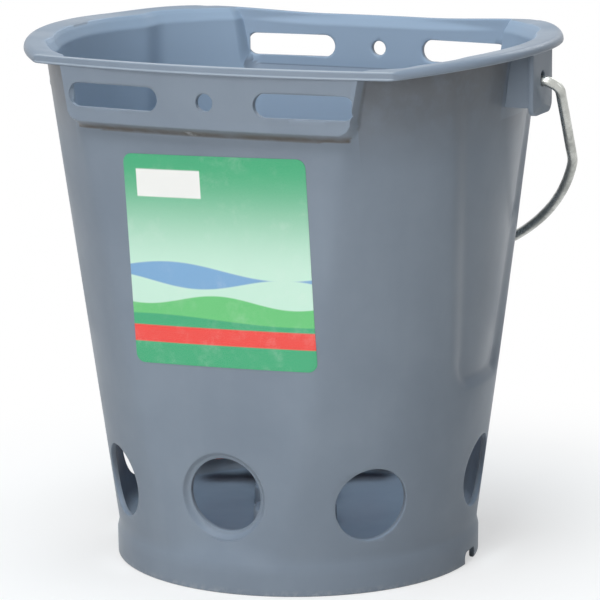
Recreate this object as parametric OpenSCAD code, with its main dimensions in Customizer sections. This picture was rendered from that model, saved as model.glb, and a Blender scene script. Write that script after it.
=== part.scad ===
// Multi teat lamb feeder: a tapered bucket with two bowed faces, hung or carried by a wire bail,
// with five teat holes round its front half and five loose teat sets standing and lying inside it.
// Frame: millimetres, +Z up, origin at the centre of the foot ring. The front face looks along -Y
// and the bail is hinged along X.

/* [Bucket wall] */
// Width over the rim, from one round side to the other
rim_w = 290; // [270:1:310]
// Thickness of the moulded wall
wall_t = 3; // [2:0.1:4]
// Outer radius of the round wall at the top of the foot ring
wall_r_low = 100; // [90:0.5:110]
// Height of the rim's top in the middle of the two round sides
rim_z = 289.5; // [270:0.5:310]
// Distance of the front and back faces from the axis, at the top of the foot ring
face_low = 95.4; // [90:0.1:99]
// The same distance under the slotted band
face_high = 109.8; // [104:0.1:114]
// Radius of the faces' gentle bow, seen from above
bow_r = 900; // [500:10:2000]

/* [Foot and floor] */
// How far the foot ring stands out from the wall above it
foot_out = 0.6; // [0.2:0.1:4]
// Height of the foot ring
foot_h = 22; // [18:0.5:26]
// Height of the floor's upper face
floor_z = 21.5; // [16:0.5:26]
// Thickness of the floor
floor_t = 3; // [2:0.1:5]
// Width of the notch in the foot ring
notch_w = 17; // [8:1:30]
// Height of the notch
notch_h = 7; // [3:0.5:12]
// Bearing of the notch, from +X
notch_turn = 4; // [-20:1:20]

/* [Rim] */
// How far the rim stands out from the wall in the middle of each round side
rim_out = 9.1; // [6:0.1:14]
// Radius of the rim's side arcs, seen from above
rim_bow = 157; // [146:1:190]
// Thickness of the rim on the round sides
rim_t = 5; // [3:0.1:7]
// Radius of the rim's rounded outer edge
rim_round = 4; // [2:0.1:4.5]
// How far the lips on the front and back stand out from the bands
lip_out = 2.5; // [0.5:0.1:6]
// Radius of the lips' bow, seen from above
lip_bow = 425; // [350:5:900]
// Thickness of the lips
lip_t = 4.1; // [3:0.1:6]
// How far the lips lie below the top of the rim
lip_dip = 4.9; // [2:0.1:8]

/* [Slotted bands] */
// How far the band stands out from the face under it
band_out = 8.2; // [5:0.1:12]
// Radius of the bands' bow, seen from above
band_bow = 600; // [450:10:900]
// Distance from the rim's top down to the band's lower edge
band_drop = 37.5; // [32:0.5:44]
// Height of the slanted underside
band_slant = 5.7; // [3:0.1:10]
// Half width of the band at its lower edge
band_half_low = 77.5; // [70:0.5:84]
// How much wider the band is on each side under the lip
band_flare = 5; // [0:0.5:8]
// Radius of the band's lower corners
band_corner = 7; // [3:0.5:12]
// Distance from the rim's top down to the slots' centre line
slot_drop = 23.5; // [20:0.5:28]
// Distance of each slot's centre from the middle of the band
slot_x = 52.3; // [46:0.1:56]
// Length of a slot, end to end
slot_len = 50.6; // [30:0.2:56]
// Height of a slot
slot_h = 12.6; // [8:0.2:16]
// Radius of the round hole between the slots
hang_r = 5; // [3:0.1:8]

/* [Side flutes] */
// Depth of the shallow flute under each ear
flute_depth = 4; // [1:0.1:5]
// Height of the flute's rounded lower end
flute_low_z = 103; // [90:1:130]
// Half width of the flute near its lower end
flute_half_low = 40; // [25:0.5:48]
// How much wider the flute is on each side at the rim
flute_flare = 28; // [4:0.5:34]
// Radius of the flute's lower corners
flute_corner = 22; // [8:0.5:24]

/* [Teat holes] */
// Bearings of the holes, from +X; the middle one is in the front face
hole_turns = [-180, -134, -90, -43.7, 5.5];
// Heights of the holes' centres
hole_heights = [51.5, 49, 52.5, 49, 51.5];
// Radius of a teat hole
hole_r = 20.3; // [17:0.1:21]
// Width of the dished seat round the front hole
seat_w = 3.6; // [1:0.1:5]
// Depth of the dished seat
seat_depth = 3; // [1:0.1:4]
// Thickness of the pad behind the front hole
pad_t = 2.6; // [1:0.1:5]
// How far that pad reaches past the seat
pad_out = 2.7; // [1:0.1:4]

/* [Ears] */
// How far the ear plate's outer face stands inside the rim's edge
ear_in = 2; // [1:0.1:5]
// Thickness of the ear plate and its webs
ear_t = 3; // [2:0.1:4]
// Half width of the ear plate
ear_half = 15; // [12:0.5:20]
// How far each web stands in from the plate's edge
web_inset = 1.5; // [0:0.1:4]
// Distance from the rim's top down to the plate's lower edge
ear_drop = 38; // [32:0.5:46]
// Distance from the rim's top down to the webs' lower edge
web_drop = 33.5; // [28:0.5:38]
// Radius of the plate's lower corners
ear_corner = 6; // [2:0.5:10]
// Distance from the rim's top down to the bail's hinge axis
hinge_drop = 20.5; // [18:0.5:26]
// How far the ear's hole runs up above the wire
ear_play = 2.6; // [0.5:0.1:4]

/* [Bail] */
// Radius of the wire
wire_r = 2.75; // [2:0.05:3.5]
// Radial clearance of the wire in the ears
wire_clear = 0.08; // [0.02:0.01:0.1]
// Gap between the rim and the bail's arms, next to the ears
arm_gap = 3.25; // [1.5:0.05:6]
// Distance from the hinge to the end of an arm
arm_len = 62; // [40:1:90]
// Inward lean of the arms
arm_lean = 6; // [0:0.5:10]
// Radius of the bend at the ear
bend_r = 8; // [6:0.5:10]
// Radius of the bend between an arm and the bow
knee_r = 26; // [10:1:30]
// Angle at which the knees turn the arms into the bow
knee_turn = 19.8; // [12:0.1:32]
// Radius of the head that holds the wire in the ear
head_r = 4.3; // [3.5:0.1:5]
// Thickness of that head
head_t = 2; // [1:0.1:3]
// How much thicker the wire is at the end of each bend
bend_swell = 0.04; // [0.02:0.01:0.06]
// Gap between the hanging bail and the wall
rest_gap = 0.5; // [0.3:0.1:2]

/* [Label] */
// Width of the label
label_w = 104; // [60:1:110]
// Height of the label
label_h = 113; // [60:1:120]
// Thickness of the label
label_t = 0.25; // [0.1:0.05:0.5]
// Place of the label's centre across the face
label_x = 2.8; // [-10:0.1:10]
// Distance from the rim's top down to the label's centre
label_drop = 109.1; // [100:0.1:120]
// Turn of the label on the face
label_turn = 1.4; // [-3:0.1:3]
// Radius of the label's corners
label_corner = 5; // [1:0.5:10]
// Gap of glue behind the label
glue_t = 0.02; // [0.01:0.01:0.1]

/* [Teat sets] */
// Clearance of a valve body's barrel in a teat hole
barrel_clear = 1.3; // [0.2:0.1:2]
// How far a valve body's flange covers the wall round a teat hole
flange_cover = 2.1; // [1.5:0.1:3.5]
// Thickness of the flange
flange_t = 3; // [2:0.1:4]
// Length of the barrel in front of the flange
barrel_len = 13; // [11:0.5:16]
// Wall of the barrel
barrel_t = 5; // [4:0.1:6]
// Height of the web that carries the check valve, above the flange's foot
web_z = 5; // [4.6:0.1:6]
// Thickness of that web
web_t = 2.5; // [2:0.1:4]
// Number of milk ports in the web
port_count = 6; // [4:1:8]
// Radius of a milk port
port_r = 1.8; // [1:0.1:2]
// Radius of the ring of ports
port_ring = 6.2; // [5.5:0.1:7]
// Thickness of the rubber washer on the flange
washer_t = 1.6; // [1:0.1:2]
// Clearance of the washer and the nut's thread on the barrel
thread_clear = 0.06; // [0.02:0.01:0.1]
// Thickness of the wall and washers that the nut can clamp
grip_t = 5; // [4:0.1:5.5]
// Thickness of the nut's front lip
lip_plate = 3; // [2:0.1:4]
// Number of grip grooves round the nut
groove_count = 12; // [6:1:16]
// Radius of a grip groove
groove_r = 1.5; // [0.8:0.1:1.8]
// Radius of the check valve's disc
disc_r = 9.6; // [8.6:0.1:11]
// Thickness of the disc
disc_t = 1.6; // [1:0.1:2.5]
// Radius of the check valve's stem
stem_r = 1.8; // [1.2:0.1:2.4]
// Clearance of the stem in the web
stem_clear = 0.06; // [0.02:0.01:0.1]
// Lift of the check valve
valve_lift = 2; // [1:0.1:2.4]
// Radius of the bulb that stops the stem
bulb_r = 2.8; // [2.6:0.1:3.4]
// Thickness of that bulb
bulb_t = 1.5; // [1:0.1:1.6]
// Thickness of the teat's foot, clamped under the nut's lip
teat_foot = 2.4; // [1.5:0.1:3]
// Clearance of the teat in the nut
teat_clear = 0.1; // [0.05:0.01:0.3]
// Radius of the teat where it leaves the nut
teat_r = 13.2; // [11:0.1:13.5]
// Radius of the teat's waist
teat_waist_r = 9.6; // [8:0.1:10.5]
// Radius of the teat's rounded head
teat_head_r = 10.6; // [9:0.1:12]
// Length of the teat in front of its foot
teat_len = 36; // [30:1:45]
// Thickness of the teat's rubber
teat_t = 2.6; // [1.5:0.1:3.5]
// Radius of the milk hole in the teat's tip
tip_hole_r = 1.2; // [0.5:0.1:2]
// Space between two sets on the floor
set_space = 1.2; // [0.6:0.1:3]
// Gap under a set that stands or lies on the floor
stand_gap = 0.05; // [0.02:0.01:0.2]
// Bearing of the row of sets on the floor
row_turn = 114; // [0:1:180]
// How far the row lies to one side of the axis
row_shift = -1.5; // [-3:0.1:3]
// How far the row's middle lies in front of the axis
row_slide = 3; // [0:0.1:4]

/* [Hidden] */
$fn = 96;

foot_r = wall_r_low + foot_out;
rim_x = rim_w / 2;
wall_r_top = rim_x - rim_out;
band_y = face_high + band_out;
lip_y = band_y + lip_out;
band_low_z = rim_z - band_drop;
band_foot_z = band_low_z - band_slant;
band_half_top = band_half_low + band_flare;
slot_z = rim_z - slot_drop;
slot_from = face_high - 2 * wall_t;
flute_half_top = flute_half_low + flute_flare;
seat_r = hole_r + seat_w;
pad_r = seat_r + pad_out;
ear_x = rim_x - ear_in;
ear_low_z = rim_z - ear_drop;
web_low_z = rim_z - web_drop;
hinge_z = rim_z - hinge_drop;
arm_x = rim_x + arm_gap + wire_r;
label_z = rim_z - label_drop;

taper = (wall_r_top - wall_r_low) / (rim_z - foot_h);
face_slope = (face_high - face_low) / (band_foot_z - foot_h);
band_slope = atan2(band_slant, band_out);
lip_top = rim_z - lip_dip;
lip_low = lip_top - lip_t;
mouth_z = rim_z + 4 * wall_t;
far = rim_x + rim_z;
bow_c = bow_r - face_high;
band_c = band_bow - band_y;
front_hole = 2;
hole_tilt = atan(taper);
face_tilt = atan(face_slope);

function wall_r(z) = wall_r_low + taper * (z - foot_h);
function face_y(z) = face_low + face_slope * (z - foot_h);
function arc(cx, cy, r, a0, a1, n = 8) = [for (i = [0 : n]) let (a = a0 + (a1 - a0) * i / n)
    [cx + r * cos(a), cy + r * sin(a)]];

// The round taper of the wall, moved in by inset
module tapered(inset, z0, z1)
    translate([0, 0, z0])
        cylinder(r1 = wall_r(z0) - inset, r2 = wall_r(z1) - inset, h = z1 - z0);

// The bowed taper of the front (side -1) or back (side 1) face, moved in by inset
module bowed(side, inset, z0, z1)
    translate([0, -side * bow_c, z0])
        cylinder(r1 = bow_c + face_y(z0) - inset, r2 = bow_c + face_y(z1) - inset, h = z1 - z0);

// The band's upright bowed wall at distance y from the axis
module bowed_upright(side, y, z0, z1)
    translate([0, -side * band_c, z0])
        cylinder(r = band_c + y, h = z1 - z0);

// An outline in X and Z, pushed through in Y from the axis outwards
module through_y(side, depth = far)
    rotate([90, 0, 0])
        translate([0, 0, side < 0 ? 0 : -depth])
            linear_extrude(depth)
                children();

// An outline in Y and Z, pushed through in X from the axis outwards
module through_x(side, depth = far)
    translate([side < 0 ? -depth : 0, 0, 0])
        rotate([90, 0, 90])
            linear_extrude(depth)
                children();

module flute_outline(grow) {
    half_low = flute_half_low + grow;
    half_top = flute_half_top + grow;
    low = flute_low_z - grow;
    r = flute_corner;
    polygon(concat(
        arc(-half_low + r, low + r, r, 180, 270),
        arc(half_low - r, low + r, r, 270, 360),
        [[half_top, mouth_z + 1], [-half_top, mouth_z + 1]]));
}

// What the flute takes off the tapered wall
module flute(side, inset)
    difference() {
        through_x(side)
            flute_outline(inset);
        tapered(inset + flute_depth, floor_z, mouth_z + 2);
    }

module band_outline(inset, top) {
    rise = inset * (1 - sin(band_slope)) / cos(band_slope);
    low = band_foot_z - (band_y - face_high);
    half_low = band_half_low - inset;
    half_top = band_half_top - inset;
    r = band_corner;
    corner_z = band_low_z + rise;
    polygon(concat(
        arc(-half_low + r, corner_z + r, r, 180, 240, 5),
        [[-half_low + 2 * r, low], [half_low - 2 * r, low]],
        arc(half_low - r, corner_z + r, r, 300, 360, 5),
        [[half_top, top], [-half_top, top]]));
}

// The slotted band under the lip, with its slanted underside
module band(side, inset, top) {
    y = band_y - inset;
    rise = inset * (1 - sin(band_slope)) / cos(band_slope);
    low = band_low_z + rise;
    root = wall_r_low / 2;
    intersection() {
        bowed_upright(side, y, root, top);
        through_y(side)
            band_outline(inset, top);
        translate([-far, 0, 0])
            through_x(1, 2 * far)
                polygon([[side * root, low - (y - root) * tan(band_slope)], [side * y, low],
                    [side * (y + wall_t), low + wall_t * tan(band_slope)], [side * (y + wall_t), top],
                    [side * root, top]]);
    }
}

// The bucket's outer form (inset 0) or its cavity (inset by the wall)
module form(inset, z0, z1, band_top) {
    difference() {
        intersection() {
            tapered(inset, z0, z1);
            bowed(-1, inset, z0, z1);
            bowed(1, inset, z0, z1);
        }
        flute(1, inset);
        flute(-1, inset);
    }
    band(-1, inset, band_top);
    band(1, inset, band_top);
}

// Seen from above, the rim's side arcs are struck from arc_c on the X axis, and its lips from lip_c on
// the Y axis. They meet in four corners, from where the sides of the rim rise.
arc_c = rim_x - rim_bow;
lip_c = lip_bow - lip_y;
apart = norm([arc_c, lip_c]);
reach = (pow(rim_bow, 2) - pow(lip_bow, 2) + pow(apart, 2)) / (2 * apart);
corner_x = arc_c - reach * arc_c / apart + sqrt(pow(rim_bow, 2) - pow(reach, 2)) * lip_c / apart;
rim_rise = asin((rim_z - rim_t - lip_low) / (rim_x - corner_x));
wall_in = wall_r(rim_z) - flute_depth - 2 * wall_t;
arc_in = min(wall_in - arc_c, sqrt(pow(wall_in, 2) + pow(arc_c, 2) - 2 * corner_x * arc_c));

// Tilts what follows up about the line between the corners of one side
module risen()
    translate([corner_x, 0, lip_low])
        rotate([0, -rim_rise, 0])
            translate([-corner_x, 0, 0])
                children();

// One side of the rim: a rising plate with a rounded edge
module rim_side()
    risen()
        intersection() {
            translate([arc_c, 0, 0])
                rotate_extrude()
                    polygon(concat([[arc_in, 0], [rim_bow, 0]],
                        arc(rim_bow - rim_round, rim_t - rim_round, rim_round, 0, 90), [[arc_in, rim_t]]));
            translate([corner_x, -far, -rim_t])
                cube([far, 2 * far, 3 * rim_t]);
        }

// The level lips between the sides, front and back
module lips()
    intersection() {
        translate([-corner_x, -far, lip_low])
            cube([2 * corner_x, 2 * far, lip_t]);
        translate([0, lip_c, 0])
            cylinder(r = lip_bow, h = mouth_z);
        translate([0, -lip_c, 0])
            cylinder(r = lip_bow, h = mouth_z);
    }

// The space under the middle of the rim's thickness, up to which the wall reaches
module under_rim() {
    translate([-far, -far, 0])
        cube([2 * far, 2 * far, lip_low + lip_t / 2]);
    for (side = [0, 1])
        mirror([side, 0, 0])
            risen()
                translate([corner_x, -far, -2 * rim_t])
                    cube([far, 2 * far, 2.5 * rim_t]);
}

// One ear: a plate on two webs, under the rim
module ear() {
    top = rim_z - rim_t / 2;
    r = ear_corner;
    translate([ear_x - ear_t, 0, 0])
        through_x(1, ear_t)
            polygon(concat(arc(-ear_half + r, ear_low_z + r, r, 180, 270),
                arc(ear_half - r, ear_low_z + r, r, 270, 360), [[ear_half, top], [-ear_half, top]]));
    for (side = [-1, 1])
        translate([wall_r_low, side * (ear_half - web_inset - ear_t / 2) - ear_t / 2, web_low_z])
            cube([ear_x - ear_t / 2 - wall_r_low, ear_t, top - web_low_z]);
}

// The ear's hole: round under the wire, drawn out upwards
module ear_hole()
    translate([ear_x - 2 * ear_t, 0, hinge_z])
        rotate([90, 0, 90])
            linear_extrude(3 * ear_t) {
                r = wire_r + wire_clear;
                circle(r);
                translate([0, ear_play])
                    circle(r);
                translate([-r, 0])
                    square([2 * r, ear_play]);
            }

// Puts what follows at a teat hole's centre on the outer face, with +Z out along the hole
module at_hole(i) {
    z = hole_heights[i];
    if (i == front_hole)
        translate([0, -face_y(z), z])
            rotate([90 + face_tilt, 0, 0])
                children();
    else
        rotate([0, 0, hole_turns[i]])
            translate([wall_r(z), 0, z])
                rotate([0, 90 + hole_tilt, 0])
                    children();
}

module slot_outline()
    for (side = [-1, 1])
        translate([side * slot_x, slot_z]) {
            square([slot_len - slot_h, slot_h], center = true);
            for (end = [-1, 1])
                translate([end * (slot_len - slot_h) / 2, 0])
                    circle(slot_h / 2);
        }

module shell()
    difference() {
        union() {
            intersection() {
                form(0, floor_z - floor_t, rim_z, lip_low + lip_t / 2);
                under_rim();
            }
            cylinder(r = foot_r, h = foot_h);
            lips();
            for (side = [0, 1])
                mirror([side, 0, 0]) {
                    rim_side();
                    ear();
                }
        }
        form(wall_t, floor_z, mouth_z, mouth_z);
        translate([0, 0, -1])
            cylinder(r = foot_r - wall_t, h = floor_z - floor_t + 1);
    }

module bucket()
    color("SlateGray")
        difference() {
            union() {
                shell();
                at_hole(front_hole)
                    translate([0, 0, -wall_t - pad_t])
                        cylinder(r = pad_r, h = pad_t + wall_t / 2);
            }
            for (i = [0 : len(hole_turns) - 1])
                at_hole(i)
                    cylinder(r = hole_r, h = 8 * wall_t, center = true);
            at_hole(front_hole)
                translate([0, 0, -seat_depth])
                    cylinder(r1 = hole_r, r2 = seat_r + (seat_r - hole_r) / seat_depth, h = seat_depth + 1);
            for (side = [-1, 1])
                intersection() {
                    through_y(side) {
                        slot_outline();
                        translate([0, slot_z])
                            circle(hang_r);
                    }
                    translate([-far, side < 0 ? -far : slot_from, 0])
                        cube([2 * far, far - slot_from, far]);
                }
            ear_hole();
            mirror([1, 0, 0])
                ear_hole();
            rotate([0, 0, notch_turn])
                translate([foot_r - 2 * wall_t, 0, 0])
                    rotate([90, 0, 90])
                        linear_extrude(3 * wall_t)
                            polygon(concat([[-notch_w / 2, -1]],
                                arc(-notch_w / 2 + notch_h / 2, notch_h / 2, notch_h / 2, 180, 90),
                                arc(notch_w / 2 - notch_h / 2, notch_h / 2, notch_h / 2, 90, 0),
                                [[notch_w / 2, -1]]));
        }

module label()
    color("OliveDrab")
        intersection() {
            difference() {
                bowed(-1, -glue_t - label_t, label_z - label_h, label_z + label_h);
                bowed(-1, -glue_t, label_z - label_h - 1, label_z + label_h + 1);
            }
            through_y(-1)
                translate([label_x, label_z])
                    rotate(label_turn) {
                        w = label_w / 2;
                        h = label_h / 2;
                        r = label_corner;
                        polygon(concat(arc(w - r, h - r, r, 0, 90), arc(-w + r, h - r, r, 90, 180),
                            arc(-w + r, -h + r, r, 180, 270), arc(w - r, -h + r, r, 270, 360)));
                    }
        }

// The bail lies in one plane: x across and s out from the hinge. It runs along the hinge, round a
// bend, up an arm that leans in, round a knee and over the bow.
bend_x = arm_x - bend_r;
arm_0 = [bend_x + bend_r * cos(arm_lean), bend_r + bend_r * sin(arm_lean)];
arm_run = (arm_len - arm_0[1]) / cos(arm_lean);
arm_1 = [arm_0[0] - arm_run * sin(arm_lean), arm_len];
knee_c = [arm_1[0] - knee_r * cos(arm_lean), arm_1[1] - knee_r * sin(arm_lean)];
bail_r = knee_r + knee_c[0] / cos(knee_turn);
bow_s = knee_c[1] - knee_c[0] * tan(knee_turn);

// The wall's distance from the middle plane behind a point of the bail, and the angle at which the
// hanging bail comes to rest against it
function behind(x, z) = min(face_y(z) - x * x / (2 * bow_r), sqrt(max(1, pow(wall_r(z), 2) - x * x)));
function swing(x, s, a, n) = n <= 0 ? a
    : swing(x, s, asin(min(0.99, (behind(x, hinge_z - s * cos(a)) + wire_r * 1.1 + rest_gap) / s)), n - 1);
rest_step = 5;
rest_reach = 110;
rest_guess = 40;
rest_rounds = 12;
bail_rest = max([for (x = [0 : rest_step : rest_reach])
    swing(x, bow_s + sqrt(bail_r * bail_r - x * x), rest_guess, rest_rounds)]);

module wire_bend(cx, cs, r, a0, a1)
    translate([cx, 0, -cs])
        rotate([90, 0, 0])
            rotate([0, 0, -a1])
                rotate_extrude(angle = a1 - a0)
                    translate([r, 0])
                        circle(wire_r);

module wire_joint(p)
    translate([p[0], 0, -p[1]])
        sphere(r = wire_r + bend_swell);

module bail_arm() {
    head_x = ear_x - ear_t - rest_gap - head_t;
    translate([head_x, 0, 0])
        rotate([0, 90, 0]) {
            cylinder(r = wire_r, h = bend_x - head_x);
            cylinder(r = head_r, h = head_t);
        }
    wire_bend(bend_x, bend_r, bend_r, -90, arm_lean);
    translate([arm_0[0], 0, -arm_0[1]])
        rotate([0, 180 + arm_lean, 0])
            cylinder(r = wire_r, h = arm_run);
    wire_bend(knee_c[0], knee_c[1], knee_r, arm_lean, knee_turn);
    wire_joint([bend_x, 0]);
    wire_joint(arm_0);
    wire_joint(arm_1);
    wire_joint([bail_r * cos(knee_turn), bow_s + bail_r * sin(knee_turn)]);
}

module bail()
    color("Silver")
        translate([0, 0, hinge_z])
            rotate([bail_rest, 0, 0]) {
                bail_arm();
                mirror([1, 0, 0])
                    bail_arm();
                wire_bend(0, bow_s, bail_r, knee_turn, 180 - knee_turn);
            }

// A teat set's own axis is Z, from the flange's foot at 0 to the teat's tip
barrel_r = hole_r - barrel_clear;
flange_r = hole_r + flange_cover;
bore_r = barrel_r - barrel_t;
barrel_z = flange_t + barrel_len;
lip_z = barrel_z + teat_foot + teat_clear;
nut_z = flange_t + grip_t;
tip_z = barrel_z + teat_foot + teat_len;
set_pitch = 2 * flange_r + set_space;

// Puts what follows at a set's place: three stand in a row, the last two lie across its end
module at_set(i) {
    lies = i > 2;
    way = i == 3 ? 1 : -1;
    rotate([0, 0, row_turn])
        translate([((lies ? 3 : i) - 1.5) * set_pitch - row_slide, -row_shift, floor_z + stand_gap])
            if (lies)
                translate([0, way * set_space, flange_r])
                    rotate([-way * 90, 0, 0])
                        children();
            else
                children();
}

module valve_body(i)
    color("WhiteSmoke")
        at_set(i)
            difference() {
                union() {
                    cylinder(r = flange_r, h = flange_t);
                    cylinder(r = barrel_r, h = barrel_z);
                }
                translate([0, 0, -1])
                    cylinder(r = bore_r, h = web_z + 1);
                translate([0, 0, web_z + web_t])
                    cylinder(r = bore_r, h = barrel_z);
                cylinder(r = stem_r + stem_clear, h = barrel_z);
                for (k = [1 : port_count])
                    rotate([0, 0, k * 360 / port_count])
                        translate([port_ring, 0, 0])
                            cylinder(r = port_r, h = barrel_z);
            }

module washer(i)
    color("DimGray")
        at_set(i)
            translate([0, 0, flange_t])
                difference() {
                    cylinder(r = flange_r, h = washer_t);
                    translate([0, 0, -1])
                        cylinder(r = barrel_r + thread_clear, h = washer_t + 2);
                }

module ring_nut(i)
    color("Gainsboro")
        at_set(i)
            difference() {
                translate([0, 0, nut_z])
                    cylinder(r = flange_r, h = lip_z + lip_plate - nut_z);
                translate([0, 0, nut_z - 1])
                    cylinder(r = barrel_r + thread_clear, h = lip_z - nut_z + 1);
                cylinder(r = teat_r + teat_clear, h = tip_z);
                for (k = [1 : groove_count])
                    rotate([0, 0, (k + 0.5) * 360 / groove_count])
                        translate([flange_r + groove_r / 3, 0, nut_z - 1])
                            cylinder(r = groove_r, h = tip_z);
            }

module check_valve(i)
    color("Black")
        at_set(i) {
            translate([0, 0, web_z + web_t])
                cylinder(r = disc_r, h = disc_t);
            translate([0, 0, web_z - valve_lift - bulb_t])
                cylinder(r = stem_r, h = valve_lift + bulb_t + web_t + disc_t / 2);
            translate([0, 0, web_z - valve_lift - bulb_t])
                cylinder(r = bulb_r, h = bulb_t);
        }

// Half section of the teat: foot, neck, waist and round head, and the same inside at its thickness
module teat_section() {
    foot_z = barrel_z + teat_foot;
    head_z = tip_z - teat_head_r;
    waist_z = (lip_z + lip_plate + head_z) / 2;
    t = teat_t;
    polygon(concat(
        [[teat_r - t, barrel_z], [barrel_r - teat_clear, barrel_z], [barrel_r - teat_clear, foot_z],
            [teat_r, foot_z], [teat_r, lip_z + lip_plate], [teat_waist_r, waist_z]],
        arc(0, head_z, teat_head_r, 0, acos(tip_hole_r / teat_head_r), 12),
        arc(0, head_z, teat_head_r - t, acos(tip_hole_r / (teat_head_r - t)), 0, 12),
        [[teat_waist_r - t, waist_z], [teat_r - t, lip_z + lip_plate]]));
}

module teat(i)
    color("Crimson")
        at_set(i)
            rotate_extrude()
                teat_section();

bucket();
label();
bail();
valve_body(0);  // valve_body_a
washer(0);  // washer_a
ring_nut(0);  // ring_nut_a
check_valve(0);  // check_valve_a
teat(0);  // teat_a
valve_body(1);  // valve_body_b
washer(1);  // washer_b
ring_nut(1);  // ring_nut_b
check_valve(1);  // check_valve_b
teat(1);  // teat_b
valve_body(2);  // valve_body_c
washer(2);  // washer_c
ring_nut(2);  // ring_nut_c
check_valve(2);  // check_valve_c
teat(2);  // teat_c
valve_body(3);  // valve_body_d
washer(3);  // washer_d
ring_nut(3);  // ring_nut_d
check_valve(3);  // check_valve_d
teat(3);  // teat_d
valve_body(4);  // valve_body_e
washer(4);  // washer_e
ring_nut(4);  // ring_nut_e
check_valve(4);  // check_valve_e
teat(4);  // teat_e
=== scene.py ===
"""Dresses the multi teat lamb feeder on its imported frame: bucket, label, bail and loose teat sets.

Sizes are in millimetres inside the classes, in the frame's axes: +Z up, the labelled face towards -Y and the
bail's hinge along X. Meshes are written in metres.
"""

import logging
import math
from dataclasses import dataclass
from enum import Enum
from typing import Callable, Sequence

import bmesh
import bpy
import numpy as np
from mathutils import Matrix, Vector


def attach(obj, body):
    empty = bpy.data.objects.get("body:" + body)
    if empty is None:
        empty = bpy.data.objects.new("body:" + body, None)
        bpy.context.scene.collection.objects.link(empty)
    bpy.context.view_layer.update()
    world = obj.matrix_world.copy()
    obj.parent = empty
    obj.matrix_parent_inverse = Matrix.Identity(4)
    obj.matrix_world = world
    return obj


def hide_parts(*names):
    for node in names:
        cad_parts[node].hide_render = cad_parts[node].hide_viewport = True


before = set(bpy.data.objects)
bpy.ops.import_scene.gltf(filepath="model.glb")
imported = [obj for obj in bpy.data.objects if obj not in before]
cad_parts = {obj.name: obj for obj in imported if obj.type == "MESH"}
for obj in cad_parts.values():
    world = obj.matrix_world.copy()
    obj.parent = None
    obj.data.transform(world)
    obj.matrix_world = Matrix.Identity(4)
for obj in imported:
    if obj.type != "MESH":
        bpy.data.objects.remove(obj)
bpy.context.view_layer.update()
LOG = logging.getLogger("lamb_feeder")
MM = 0.001
Socket = bpy.types.NodeSocket
Colour = tuple[float, float, float, float]


class Cut(Enum):
    """What a tool solid does to the piece it is used on."""

    TAKE = "DIFFERENCE"
    ADD = "UNION"


def smooth_min(a: np.ndarray, b: np.ndarray, k: float | np.ndarray) -> np.ndarray:
    """Smaller of two heights, with the crease between them rounded.

    Args:
        a: First height.
        b: Second height.
        k: Difference of height over which the crease is rounded.

    Returns:
        The blended height.
    """
    h = np.maximum(k - np.abs(a - b), 0.0) / k
    return np.minimum(a, b) - h * h * k * 0.25


def smooth_max(a: np.ndarray, b: np.ndarray, k: float | np.ndarray) -> np.ndarray:
    """Larger of two heights, with the crease between them rounded as in smooth_min."""
    return -smooth_min(-np.asarray(a), -np.asarray(b), k)


def soft_rise(d: np.ndarray, w: float) -> np.ndarray:
    """Zero for negative d and d for positive, rounded over about w."""
    return 0.5 * (d + np.sqrt(d * d + w * w)) - 0.5 * w * np.exp(-np.abs(d) / w)


def smooth_step(t: np.ndarray) -> np.ndarray:
    """Cubic step from 0 at t = 0 to 1 at t = 1."""
    t = np.clip(t, 0.0, 1.0)
    return t * t * (3.0 - 2.0 * t)


def eased(v: np.ndarray, start: float, width: float) -> np.ndarray:
    """Cubic step of v from 0 at the start to 1 past the width."""
    return smooth_step((v - start) / width)


def bell(d: np.ndarray, width: float) -> np.ndarray:
    """One at d = 0, falling away over about the width on both sides."""
    return np.exp(-(d / width) ** 2)


def stacked(*parts: np.ndarray | float) -> np.ndarray:
    """Rows of points from their coordinates; a single number counts for every row."""
    return np.stack(np.broadcast_arrays(*parts), axis=1)


def full_turn(count: int) -> np.ndarray:
    """Angles of a full turn in equal steps."""
    return np.linspace(0, 2 * math.pi, count + 1)[:-1]


def quarter(x: float, y: float, r: float, start: float) -> np.ndarray:
    """A quarter circle of nine points about x, y, anticlockwise from a bearing in degrees."""
    a = np.linspace(0, math.pi / 2, 9) + math.radians(start)
    return stacked(x + r * np.cos(a), y + r * np.sin(a))


def put_in_scene(name: str, data: bpy.types.ID) -> bpy.types.Object:
    """Makes an object of a mesh, lamp or camera and links it.

    Args:
        name: Its name.
        data: What it holds.

    Returns:
        The object.
    """
    obj = bpy.data.objects.new(name, data)
    bpy.context.scene.collection.objects.link(obj)
    return obj


def mesh_object(name: str, points: np.ndarray, faces: Sequence[Sequence[int]]) -> bpy.types.Object:
    """Makes a mesh object from points in millimetres.

    Args:
        name: Name of the object.
        points: One row of x, y, z for each vertex.
        faces: Vertex indices of each face.

    Returns:
        The linked object, at the origin.
    """
    mesh = bpy.data.meshes.new(name)
    mesh.from_pydata((np.asarray(points) * MM).tolist(), [], [tuple(f) for f in faces])
    mesh.validate()
    return put_in_scene(name, mesh)


def loft(rings: Sequence[np.ndarray], caps: bool = True) -> tuple[np.ndarray, list[tuple[int, ...]]]:
    """Skins a row of closed rings that have as many points each.

    Args:
        rings: Arrays of n by 3 points.
        caps: Whether each end is closed by a fan to its middle.

    Returns:
        Points and faces.
    """
    n = len(rings[0])
    points = np.vstack(rings)
    faces: list[tuple[int, ...]] = []
    for i in range(len(rings) - 1):
        a, b = i * n, (i + 1) * n
        for j in range(n):
            k = (j + 1) % n
            faces.append((a + j, a + k, b + k, b + j))
    if caps:
        low, high = len(points), len(points) + 1
        points = np.vstack([points, rings[0].mean(axis=0), rings[-1].mean(axis=0)])
        last = (len(rings) - 1) * n
        for j in range(n):
            k = (j + 1) % n
            faces.append((low, k, j))
            faces.append((high, last + j, last + k))
    return points, faces


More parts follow.
